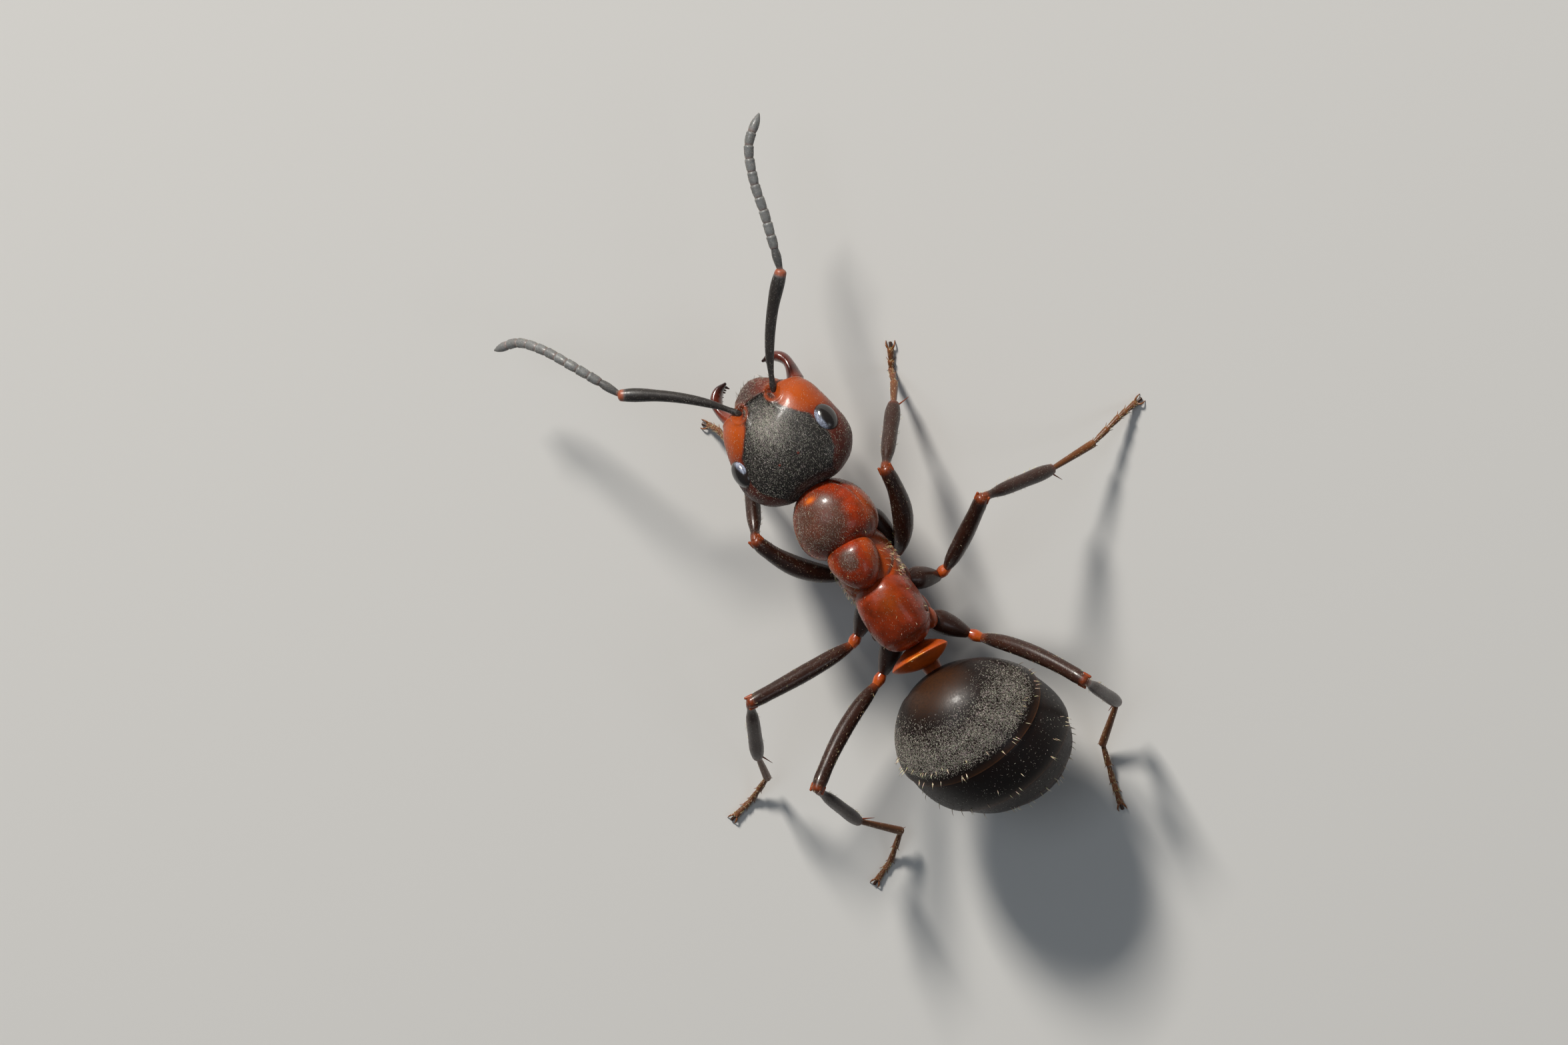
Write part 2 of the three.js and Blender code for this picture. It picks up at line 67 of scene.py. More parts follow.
HEAD_AT = np.array([0.09, -2.77, 2.25])
HEAD_TURN = 4
HEAD_DROOP = 18
HEAD_HALF = np.array([1.06, 1.1, 0.63])
# Half width of the head at places along it (mm): clypeus, the step to the cheeks' front corners, eyes, occiput
HEAD_PLAN = [(-1.1, 0.06), (-1.06, 0.18), (-1.0, 0.27), (-0.9, 0.4), (-0.81, 0.48), (-0.75, 0.58), (-0.69, 0.76),
             (-0.62, 0.81), (-0.5, 0.88), (-0.27, 0.95), (0.1, 1.03), (0.38, 1.07), (0.6, 1.04), (0.8, 0.93),
             (0.95, 0.78), (1.05, 0.6), (1.1, 0.5)]
HEAD_END_POWER = 14
OCCIPUT_DENT = 0.05
HEAD_SIDE_POWER = 2.3
HEAD_SECTION_POWER = 2.4
HEAD_MOUTH_SLIM = 0.38
CLYPEUS_DROP = 0.13
EYE_AT = np.array([0.87, 0.25, 0.35])
EYE_HALF = np.array([0.14, 0.25, 0.2])
EYE_RISE = 40
EYE_FACETS = 1500
EYE_SHEEN = {1: ((0.3, -0.3), 0.46, 0.6), -1: ((0.12, 0.08), 0.66, 0.88)}  # painted pale reflection on each eye: centre, half sizes
MANDIBLE_BASE = [0.66, -0.72, -0.24]
MANDIBLE_BENDS = [[0.7, -0.93, -0.25], [0.69, -1.09, -0.27], [0.62, -1.21, -0.29], [0.5, -1.29, -0.3],
                  [0.34, -1.31, -0.31]]
MANDIBLE_OPEN = {"r": 0, "l": 9}
ANTENNA_SOCKET = {"r": [-0.21, -3.5, 2.35], "l": [0.49, -3.43, 2.35]}
SCAPE_LENGTH = 2.05
PEDICEL_LENGTH = 0.42
FLAGELLUM_LENGTHS = [0.6, 0.6, 0.6, 0.55]
FLAGELLUM_RINGS = 10
SCAPE_BOW = -0.12
ANTENNA_POSE = {
    "r": [(35, 2), (17, 2), (15, -4), (13, -4), (23, -7), (48, -18)],
    "l": [(50, 2), (28, -3), (31, -10), (38, -30), (52, -36), (82, -31)],
}
NECK = {"from": [0.08, -2.0, 2.12], "to": [0.05, -1.45, 2.2], "thick": 0.5}
PRONOTUM = {"at": [0.06, -1.12, 2.36], "half": [0.7, 0.68, 0.7], "tilt": 18, "taper": 0.16, "power": 2.2}
MESONOTUM = {"at": [0.06, -0.3, 2.72], "half": [0.41, 0.47, 0.42], "tilt": -8, "taper": -0.28, "power": 2.2}
MESOPLEURA = {"at": [0.03, -0.05, 2.16], "half": [0.53, 0.78, 0.62], "tilt": 0, "taper": 0.0, "power": 2.4}
PROPODEUM = {"at": [0.02, 0.71, 2.32], "half": [0.52, 0.73, 0.6], "tilt": -14, "taper": 0.05, "power": 2.7}
PETIOLE_AT = np.array([0.05, 1.7, 1.95])
SCALE = {"width": 1.08, "height": 0.72, "foot": 0.4, "crest": 0.05, "lean": 8, "notch": 0.05, "root": 0.3}
PEDUNCLE = {"from": [0.03, 1.2, 1.98], "to": [0.03, 2.35, 1.95], "thick": 0.4}
GASTER_AT = np.array([-0.01, 3.46, 1.93])
GASTER_HALF = np.array([1.395, 1.52, 1.2])
GASTER_DROOP = 33
GASTER_TURN = 2
GASTER_BEND = 0.3
GASTER_CUTS = [0, 0.375, 0.66, 0.83, 0.93, 1]
GASTER_EGG = 0.1
GASTER_STEP = 0.03

LEGS = {
    "fore": {"hip": [0.38, -0.85, 1.8], "lengths": [0.9, 0.2, 1.95, 1.5, 0.7, 0.5, 0.35], "bow": 0.17},
    "mid": {"hip": [0.38, 0.5, 1.72], "lengths": [0.66, 0.24, 2.05, 1.75, 0.95, 0.65, 0.4], "bow": 0.02},
    "hind": {"hip": [0.34, 1.25, 1.72], "lengths": [0.72, 0.26, 2.2, 1.95, 1.05, 0.75, 0.4], "bow": -0.1},
}
LEG_POSE = {
    "fore_r": [(177, -35), (-173, 20), (27, 32), (33, -55), (20, -68), (-1, -70), (29, 0)],
    "fore_l": [(176, -36), (119, -8), (30, 33), (-20, -47), (16, -42), (28, -52), (51, -58)],
    "mid_r": [(129, -48), (78, 10), (57, 37), (109, -52), (94, -38), (77, -26), (83, -30)],
    "mid_l": [(129, -14), (119, 1), (86, 25), (148, -46), (157, -54), (116, -32), (105, -2)],
    "hind_r": [(148, -19), (141, -1), (136, 29), (-178, -64), (-130, -31), (-162, -16), (-167, 0)],
    "hind_l": [(130, -17), (121, 8), (119, 35), (179, -57), (-148, -45), (130, -30), (115, 0)],
}
FOOT_AXIS_HEIGHT = 0.05
CLAW_REACH = 0.16
# On which sides of its tip each shin has a spur: 1 is counter-clockwise from the shin, seen from above
SPUR_SIDES = {"fore_r": (-1,), "fore_l": (1,), "mid_r": (-1,), "mid_l": (1,), "hind_r": (-1,), "hind_l": (1,)}
LOWEST = [-np.inf, -np.inf, 0.002]  # no foot or hair sinks into the floor
BOW_AT = 0.45

# Thickness along each limb, as (part of its length, diameter)
SCAPE_THICK = [(0, 0.1), (0.04, 0.12), (0.09, 0.1), (0.3, 0.15), (0.7, 0.2), (0.93, 0.23), (1, 0.2)]
PEDICEL_THICK = [(0, 0.08), (0.15, 0.1), (0.75, 0.15), (1, 0.12)]
BEAD_THICK = 0.165
COXA_THICK = [(0, 0.26), (0.2, 0.38), (0.5, 0.38), (0.85, 0.27), (1, 0.2)]
TROCHANTER_THICK = [(0, 0.12), (0.25, 0.17), (0.6, 0.21), (1, 0.17)]
FEMUR_THICK = {
    "fore": [(0, 0.15), (0.1, 0.24), (0.45, 0.36), (0.8, 0.28), (0.94, 0.25), (1, 0.2)],
    "mid": [(0, 0.14), (0.1, 0.22), (0.4, 0.29), (0.8, 0.26), (0.95, 0.24), (1, 0.2)],
    "hind": [(0, 0.14), (0.1, 0.22), (0.4, 0.28), (0.8, 0.25), (0.95, 0.24), (1, 0.2)],
}
TIBIA_SHAPE = [(0, 0.6), (0.05, 0.66), (0.1, 0.6), (0.28, 0.9), (0.6, 1.0), (0.94, 0.94), (1, 0.8)]
TIBIA_THICK = {"fore": 0.26, "mid": 0.24, "hind": 0.22}
TARSOMERE_THICK = [(0, 0.07), (0.25, 0.085), (0.8, 0.11), (1, 0.115)]

# ---------------------------------------------------------------- small geometry tools

SIDES = {"l": 1, "r": -1}


def unit(v):
    v = np.asarray(v, float)
    return v / np.maximum(np.linalg.norm(v, axis=-1, keepdims=True), 1e-12)


def turn(axis, degrees):
    """Rotation matrix about x, y or z."""
    c, s = np.cos(np.radians(degrees)), np.sin(np.radians(degrees))
    a, b = {"x": (1, 2), "y": (2, 0), "z": (0, 1)}[axis]
    m = np.eye(3)
    m[a, a] = m[b, b] = c
    m[a, b], m[b, a] = -s, s
    return m


def heading(pose, side):
    """Unit vector from an outward heading and a pitch."""
    h, p = np.radians(pose)
    return np.array([side * np.sin(h) * np.cos(p), -np.cos(h) * np.cos(p), np.sin(p)])


def step(x, low, high):
    """Smooth step from 0 to 1."""
    t = np.clip((x - low) / (high - low), 0, 1)
    return t * t * (3 - 2 * t)


def bump(x, width):
    return np.exp(-((x / width) ** 2))


def profile(t, knots):
    """Smooth curve through (t, value) knots."""
    x, y = np.array(knots, float).T
    slope = np.gradient(y, x)
    i = np.clip(np.searchsorted(x, t, side="right") - 1, 0, len(x) - 2)
    h = x[i + 1] - x[i]
    s = (t - x[i]) / h
    a, b = y[i], y[i + 1]
    curve = a + (b - a) * s * s * (3 - 2 * s)
    return curve + h * s * (1 - s) * ((1 - s) * slope[i] - s * slope[i + 1])


def spline(points, count):
    """Catmull-Rom curve through the points, evenly sampled."""
    p = np.array(points, float)
    if len(p) == 2:
        return p[0] + (p[1] - p[0]) * np.linspace(0, 1, count)[:, None]
    p = np.vstack([2 * p[0] - p[1], p, 2 * p[-1] - p[-2]])
    fine = []
    for a, b, c, d in zip(p, p[1:], p[2:], p[3:]):
        t = np.linspace(0, 1, 24, endpoint=False)[:, None]
        fine.append(0.5 * (2 * b + (c - a) * t + (2 * a - 5 * b + 4 * c - d) * t**2 + (3 * b - a - 3 * c + d) * t**3))
    return even(np.vstack([*fine, p[-2:-1]]), count)


def bezier(a, b, c, count):
    t = np.linspace(0, 1, 80)[:, None]
    return even((1 - t) ** 2 * a + 2 * t * (1 - t) * b + t**2 * c, count)


def even(path, count):
    run = np.r_[0, np.cumsum(np.linalg.norm(np.diff(path, axis=0), axis=1))]
    at = np.linspace(0, run[-1], count)
    return np.stack([np.interp(at, run, path[:, k]) for k in range(3)], axis=1)


def bowed(start, end, outward, bow, side, count=40):
    bend = heading((outward + 90, 0), side) * 2 * bow
    return bezier(start, start + (end - start) * BOW_AT + bend, end, count)


class Skin:
    """A closed surface of rings between two poles, with what is painted on it.

    rings is (rows, columns, 3); each row goes once round, from the front pole to the rear one.
    """

    def __init__(self, rings, front, rear):
        self.rings, self.front, self.rear = rings, np.asarray(front, float), np.asarray(rear, float)
        self.dark = np.zeros(rings.shape[:2])
        self.glow = np.zeros(rings.shape[:2])

    def paint(self, dark=0.0, glow=0.0):
        self.dark = self.dark * 0 + dark
        self.glow = self.glow * 0 + glow
        return self

    def moved(self, matrix, offset=(0, 0, 0)):
        new = Skin(self.rings @ matrix.T + offset, matrix @ self.front + offset, matrix @ self.rear + offset)
        new.dark, new.glow = self.dark, self.glow
        return new

    def normals(self):
        along = np.gradient(self.rings, axis=0)
        around = np.roll(self.rings, -1, 1) - np.roll(self.rings, 1, 1)
        return unit(np.cross(along, around))

    def mesh(self):
        rows, columns = self.rings.shape[:2]
        verts = np.vstack([self.rings.reshape(-1, 3), self.front, self.rear])
        i = np.arange(rows - 1)[:, None] * columns
        j = np.arange(columns)[None, :]
        k = (j + 1) % columns
        quads = np.stack([i + j, i + j + columns, i + k + columns, i + k], -1).reshape(-1, 4)
        j, k = j[0], k[0]
        front = np.stack([np.full(columns, rows * columns), j, k], -1)
        last = (rows - 1) * columns
        rear = np.stack([np.full(columns, rows * columns + 1), last + k, last + j], -1)
        dark = np.r_[self.dark.ravel(), self.dark[0].mean(), self.dark[-1].mean()]
        glow = np.r_[self.glow.ravel(), self.glow[0].mean(), self.glow[-1].mean()]
        return verts, quads.tolist() + front.tolist() + rear.tolist(), dark, glow


def closed(around, along, shape):
    """A Skin from shape(v, angle): v from -1 in front to 1 behind, the angle from the left side over the top."""
    v = -np.cos(np.pi * np.arange(1, along) / along)[:, None]
    a = (2 * np.pi * np.arange(around) / around)[None, :]
    v, a = np.broadcast_arrays(v, a)
    ends = [shape(np.array([[e]]), np.array([[0.0]]))[0, 0] for e in (-1.0, 1.0)]
    skin = Skin(shape(v, a), *ends)
    skin.v, skin.a = v, a
    return skin


def tube(path, diameter, sides=20, flat=1.0, blunt=(0.6, 0.6), caps=4, ripple=None):
    """A limb along a path; diameter(t) is its thickness, flat its depth against its width."""
    t = np.linspace(0, 1, len(path))
    r = diameter(t) / 2
    tangent = unit(np.gradient(path, axis=0))
    side = np.empty_like(path)
    side[0] = unit(np.cross([0, 0, 1], tangent[0]) if abs(tangent[0, 2]) < 0.98 else [1, 0, 0])
    for i in range(1, len(path)):
        side[i] = unit(side[i - 1] - (side[i - 1] @ tangent[i]) * tangent[i])
    over = np.cross(tangent, side)
    cap = np.radians(np.linspace(0, 90, caps + 1)[1:-1])
    first = [(path[0] - tangent[0] * r[0] * blunt[0] * np.sin(c), r[0] * np.cos(c), 0) for c in cap[::-1]]
    last = [(path[-1] + tangent[-1] * r[-1] * blunt[1] * np.sin(c), r[-1] * np.cos(c), -1) for c in cap]
    body = [(p, q, i) for i, (p, q) in enumerate(zip(path, r))]
    rows = first + body + last
    a = 2 * np.pi * np.arange(sides) / sides
    rings = np.array([
        p + q * (np.cos(a)[:, None] * -side[i] + flat * np.sin(a)[:, None] * over[i]) for p, q, i in rows
    ])
    if ripple is not None:
        rings = rings + ripple(rings)
    skin = Skin(
        rings,
        path[0] - tangent[0] * r[0] * blunt[0],
        path[-1] + tangent[-1] * r[-1] * blunt[1],
    )
    skin.v = np.r_[np.zeros(len(first)), t, np.ones(len(last))][:, None] * np.ones(sides) * 2 - 1
    skin.a = np.broadcast_to(a, rings.shape[:2])
    return skin


# ---------------------------------------------------------------- materials


def node(tree, kind, inputs=(), **settings):
    made = tree.nodes.new(kind)
    for key, value in settings.items():
        setattr(made, key, value)
    for key, value in dict(inputs).items():
        if isinstance(value, bpy.types.NodeSocket):
            tree.links.new(value, made.inputs[key])
        else:
            made.inputs[key].default_value = value
    return made


def mixed(tree, factor, a, b):
    mix = node(tree, "ShaderNodeMix", data_type="RGBA", clamp_factor=True)
    for socket, value in zip((mix.inputs[0], mix.inputs[6], mix.inputs[7]), (factor, a, b)):
        if isinstance(value, bpy.types.NodeSocket):
            tree.links.new(value, socket)
        else:
            socket.default_value = value if socket is mix.inputs[0] else (*value, 1)
    return mix.outputs[2]


def ranged(tree, value, low, high, to_low=0.0, to_high=1.0):
    made = node(tree, "ShaderNodeMapRange", {0: value, 1: low, 2: high, 3: to_low, 4: to_high})
    return made.outputs[0]


def cuticle(name, base, dark, glow, rough=0.3, grain=0.25, pits=34.0, coat=0.3, mottle=0.35, specks=0.0,
            soften=0.0, shine=0.5):
    """Insect shell: base colour, what the dark and glow markings turn it into, and its fine grain."""
    material = bpy.data.materials.new(name)
    material.use_nodes = True
    tree = material.node_tree
    shader = tree.nodes["Principled BSDF"]
    where = node(tree, "ShaderNodeTexCoord").outputs["Object"]
    mm = node(tree, "ShaderNodeVectorMath", {0: where, 3: 1000.0}, operation="SCALE").outputs[0]
    cloud = node(tree, "ShaderNodeTexNoise", {"Vector": mm, "Scale": 3.2, "Detail": 5.0, "Roughness": 0.62})
    fleck = node(tree, "ShaderNodeTexNoise", {"Vector": mm, "Scale": 26.0, "Detail": 4.0, "Roughness": 0.7})
    cells = node(tree, "ShaderNodeTexVoronoi", {"Vector": mm, "Scale": pits, "Randomness": 0.85})
    dark_mark = node(tree, "ShaderNodeAttribute", attribute_name="dark").outputs["Fac"]
    glow_mark = node(tree, "ShaderNodeAttribute", attribute_name="glow").outputs["Fac"]
    tone = ranged(tree, cloud.outputs["Fac"], 0.3, 0.7, 1 - mottle, 1 + mottle)
    toned = node(tree, "ShaderNodeHueSaturation", {"Value": tone, "Color": (*base, 1)}).outputs[0]
    warm = mixed(tree, glow_mark, toned, glow)
    ragged = node(tree, "ShaderNodeMath", {0: fleck.outputs["Fac"], 1: 0.5}, operation="SUBTRACT").outputs[0]
    edge = node(tree, "ShaderNodeMath", {0: ragged, 1: 0.5, 2: dark_mark}, operation="MULTIPLY_ADD").outputs[0]
    shaded = mixed(tree, ranged(tree, edge, 0.08, 0.92), warm, dark)
    speck = ranged(tree, fleck.outputs["Fac"], 0.56, 0.74, 0.0, specks)
    colour = mixed(tree, speck, shaded, (0.5, 0.46, 0.4))
    tree.links.new(colour, shader.inputs["Base Color"])
    tree.links.new(ranged(tree, fleck.outputs["Fac"], 0.3, 0.7, rough - 0.08, rough + 0.12),
                   shader.inputs["Roughness"])
    fine = node(tree, "ShaderNodeTexNoise", {"Vector": mm, "Scale": 75.0, "Detail": 3.0, "Roughness": 0.6})
    pitted = node(tree, "ShaderNodeMath", {0: cells.outputs["Distance"], 1: 0.35, 2: fleck.outputs["Fac"]},
                  operation="MULTIPLY_ADD").outputs[0]
    height = node(tree, "ShaderNodeMath", {0: pitted, 1: fine.outputs["Fac"]}, operation="ADD").outputs[0]
    relief = node(tree, "ShaderNodeBump", {"Strength": grain, "Distance": 0.004 * MM, "Height": height})
    tree.links.new(relief.outputs[0], shader.inputs["Normal"])
    shader.inputs["Specular IOR Level"].default_value = shine
    shader.inputs["Coat Weight"].default_value = coat
    shader.inputs["Coat Roughness"].default_value = 0.12
    if soften:
        shader.inputs["Subsurface Weight"].default_value = soften
        shader.inputs["Subsurface Radius"].default_value = (1.0, 0.35, 0.12)
        shader.inputs["Subsurface Scale"].default_value = 0.12 * MM
    return material


def bristle(name, root, tip, rough=0.3):
    """Hair: dark markings of the skin show at its root."""
    material = bpy.data.materials.new(name)
    material.use_nodes = True
    tree = material.node_tree
    shader = tree.nodes["Principled BSDF"]
    along = node(tree, "ShaderNodeAttribute", attribute_name="glow").outputs["Fac"]
    dark_mark = node(tree, "ShaderNodeAttribute", attribute_name="dark").outputs["Fac"]
    where = node(tree, "ShaderNodeTexCoord").outputs["Object"]
    mm = node(tree, "ShaderNodeVectorMath", {0: where, 3: 1000.0}, operation="SCALE").outputs[0]
    tint = node(tree, "ShaderNodeTexNoise", {"Vector": mm, "Scale": 9.0, "Detail": 2.0})
    pale = mixed(tree, along, root, tip)
    sparkle = node(tree, "ShaderNodeTexNoise", {"Vector": mm, "Scale": 34.0, "Detail": 1.0})
    toned = node(tree, "ShaderNodeHueSaturation",
                 {"Hue": ranged(tree, sparkle.outputs["Fac"], 0.3, 0.7, 0.4, 0.6),
                  "Saturation": ranged(tree, dark_mark, 0.0, 1.0, 1.0, 0.6),
                  "Value": ranged(tree, tint.outputs["Fac"], 0.3, 0.7, 0.75, 1.2), "Color": pale})
    tree.links.new(toned.outputs[0], shader.inputs["Base Color"])
    shader.inputs["Roughness"].default_value = rough
    shader.inputs["Specular IOR Level"].default_value = 0.6
    return material


BLACK = (0.008, 0.0065, 0.006)
GREY = (0.013, 0.0118, 0.0105)
RED = (0.21, 0.02, 0.0025)
ORANGE = (0.37, 0.06, 0.003)
AMBER = (0.62, 0.13, 0.006)
BROWN = (0.036, 0.011, 0.0055)

FINISH = {
    "head_cuticle": cuticle("head shell", (0.12, 0.014, 0.004), GREY, ORANGE, rough=0.34, grain=0.5, pits=60.0, coat=0.1,
                             specks=0.07, soften=0.03, shine=0.26),
    # The eye's glow colour is a painted pale-blue reflection.
    "eye": cuticle("eye", (0.014, 0.007, 0.005), BLACK, (0.36, 0.4, 0.52), rough=0.2, grain=0.05, coat=0.7,
                   mottle=0.1),
    "jaw": cuticle("jaw", (0.11, 0.014, 0.005), BLACK, (0.26, 0.035, 0.006), rough=0.22, grain=0.5, pits=24.0,
                   coat=0.7),
    "antenna": cuticle("antenna", (0.16, 0.165, 0.165), (0.012, 0.008, 0.006), ORANGE, rough=0.4, grain=0.5,
                       coat=0.1, specks=0.05),
    "trunk_cuticle": cuticle("trunk shell", RED, (0.06, 0.033, 0.022), AMBER, rough=0.3, grain=0.5, pits=60.0,
                             mottle=0.6, specks=0.03, coat=0.22, soften=0.05, shine=0.22),
    "scale_cuticle": cuticle("scale", (0.42, 0.068, 0.004), (0.16, 0.018, 0.003), (0.75, 0.28, 0.04), rough=0.32,
                             grain=0.5, coat=0.15, soften=0.15, shine=0.35),
    "gaster_cuticle": cuticle("gaster shell", (0.02, 0.006, 0.003), (0.003, 0.0024, 0.002), (0.24, 0.09, 0.03),
                              rough=0.4, grain=0.2, coat=0.04, shine=0.24),
    "leg_cuticle": cuticle("leg shell", BROWN, (0.014, 0.0065, 0.0045), (0.27, 0.045, 0.006), rough=0.33, grain=0.35,
                           specks=0.04, coat=0.2, shine=0.32),
    "tarsus": cuticle("foot", (0.075, 0.027, 0.011), (0.03, 0.013, 0.007), (0.26, 0.085, 0.02), rough=0.35,
                      grain=0.35, coat=0.15, shine=0.32),
    "joint_cuticle": cuticle("joint", (0.34, 0.045, 0.005), BROWN, AMBER, rough=0.25, grain=0.2, coat=0.6,
                             soften=0.15),
}
DOWN = bristle("pale down", (0.07, 0.045, 0.025), (0.95, 0.86, 0.68), rough=0.2)
GOLD = bristle("golden bristles", (0.5, 0.34, 0.14), (1.0, 0.88, 0.6), rough=0.25)

# ---------------------------------------------------------------- making pieces

SLOT_OF = {row["node"]: row["material_slot"] for row in frame["record"]["subparts"]}


def place(points):
    return (points - FRAME_ORIGIN) * MM


def make(name, verts, faces, material, dark, glow):
    mesh = bpy.data.meshes.new(name)
    mesh.from_pydata(place(np.maximum(verts, LOWEST)).tolist(), [], faces)
    mesh.validate()
    for key, values in (("dark", dark), ("glow", glow)):
        layer = mesh.attributes.new(key, "FLOAT", "POINT")
        layer.data.foreach_set("value", np.asarray(values, np.float32))
    mesh.shade_smooth()
    mesh.materials.append(material)
    piece = bpy.data.objects.new(name, mesh)
    bpy.context.scene.collection.objects.link(piece)
    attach(piece, "root")
    return piece


def join(skins):
    verts, faces, dark, glow, base = [], [], [], [], 0
    for skin in skins:
        v, f, d, g = skin.mesh()
        verts.append(v)
        faces += [[i + base for i in face] for face in f]
        dark.append(d)
        glow.append(g)
        base += len(v)
    return np.vstack(verts), faces, np.hstack(dark), np.hstack(glow)


def stand_for(part, skins):
    """The piece that stands for one CAD node, in that node's finish."""
    slot = SLOT_OF[part]
    verts, faces, dark, glow = join(skins)
    piece = make(f"skin_{part}", verts, faces, FINISH.get(part.split("_")[0], FINISH[slot]), dark, glow)
    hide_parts(part)
    return piece


class Coat:
    """Hairs gathered into one mesh; each is a thin cone whose bake patch lies at its root's place."""

    PATCH = 0.003
    CORNERS = np.array([[0, 0], [1, 0], [0, 1], [1, 1], [0.5, 0], [0, 0.5], [0.5, 0.5]])

    def __init__(self, name, slot, cells):
        self.name, self.slot, self.cells = name, slot, cells
        self.verts, self.tris, self.uvs, self.dark, self.along, self.base = [], [], [], [], [], 0

    def add(self, skin, cell, count, length, width, lift, weight=None, lie=None, curl=0.5, scatter=0.35, painted_sheen=None):
        """Sow hairs on a skin; weight says how densely, lie which way, lift how far they stand up, in degrees."""
        rings, normals = skin.rings, skin.normals()
        along = unit(np.gradient(rings, axis=0))
        corner = lambda a: (a[:-1] + a[1:] + np.roll(a, -1, 1)[:-1] + np.roll(a, -1, 1)[1:]) / 4
        side = np.roll(rings, -1, 1) - rings
        area = np.linalg.norm(np.cross((rings[1:] - rings[:-1]), side[:-1]), axis=-1)
        if weight is not None:
            area = area * weight(skin)[:-1]
        chance = area.ravel() / area.sum()
        pick = RNG.choice(len(chance), count, p=chance)
        i, j = np.divmod(pick, rings.shape[1])
        k = (j + 1) % rings.shape[1]
        s, t = RNG.random((2, count, 1))
        blend = lambda a: (a[i, j] * (1 - s) + a[i, k] * s) * (1 - t) + (a[i + 1, j] * (1 - s) + a[i + 1, k] * s) * t
        root, normal = blend(rings), unit(blend(normals))
        lay = unit(blend(along)) if lie is None else np.broadcast_to(unit(lie), root.shape)
        lay = unit(lay - (lay * normal).sum(1, keepdims=True) * normal)
        across = np.cross(normal, lay)
        stray = RNG.normal(0, scatter, (count, 1))
        lay = unit(lay * np.cos(stray) + across * np.sin(stray))
        across = np.cross(normal, lay)
        rise = np.radians(lift * RNG.uniform(0.7, 1.3, (count, 1)))
        long = length * RNG.uniform(0.75, 1.2, (count, 1))
        first = lay * np.cos(rise) + normal * np.sin(rise)
        last = unit(lay * np.cos(rise * (1 - curl)) + normal * np.sin(rise * (1 - curl)))
        root = root - normal * width * 0.5
        middle = root + first * long * 0.55
        tip = middle + last * long * 0.45
        thick = np.cross(first, across)
        ring = [np.cos(q) * across + np.sin(q) * thick for q in np.radians([90, 210, 330])]
        points = [root + r * width / 2 for r in ring] + [middle + r * width * 0.36 for r in ring] + [tip]
        points = np.stack(points, 1)
        face = [[0, 4, 3], [0, 1, 4], [1, 5, 4], [1, 2, 5], [2, 3, 5], [2, 0, 3], [3, 4, 6], [4, 5, 6], [5, 3, 6],
                [0, 2, 1]]
        tris = np.array(face)[None] + (self.base + 7 * np.arange(count))[:, None, None]
        column, row = cell
        wide, high = self.cells
        u = (column + (j[:, None] + s) / rings.shape[1]) / wide
        v = (row + (i[:, None] + t) / rings.shape[0]) / high
        uv = np.stack([u, v], -1) + (self.CORNERS - 0.5) * self.PATCH
        shade = skin.dark[i, j]
        self.verts.append(points.reshape(-1, 3))
        self.tris.append(tris.reshape(-1, 3))
        self.uvs.append(uv.reshape(-1, 2))
        self.dark.append(np.repeat(shade, 7))
        # Brightness differs at random from hair to hair as painted glints, and is raised further where a painted
        # sheen is given.
        bright = RNG.random((count, 1)) ** 2
        if painted_sheen is not None:
            bright = bright ** (1 - 0.75 * painted_sheen[i, j, None])
        self.along.append((bright * [0.3, 0.3, 0.3, 0.9, 0.9, 0.9, 1.0]).ravel())
        self.base += 7 * count

    def finish(self, material):
        tris = np.vstack(self.tris)
        piece = make(self.name, np.vstack(self.verts), tris.tolist(), material, np.hstack(self.dark),
                     np.hstack(self.along))
        layer = piece.data.uv_layers.new(name="OFBake")
        layer.data.foreach_set("uv", np.vstack(self.uvs)[tris.ravel()].astype(np.float32).ravel())
        return piece


# ---------------------------------------------------------------- head

HEAD_TURNED = turn("z", HEAD_TURN) @ turn("x", HEAD_DROOP)


def in_head(skin):
    return skin.moved(HEAD_TURNED, HEAD_AT)


def rounded(x, power):
    return np.maximum(0, 1 - np.abs(x) ** power) ** (1 / power)


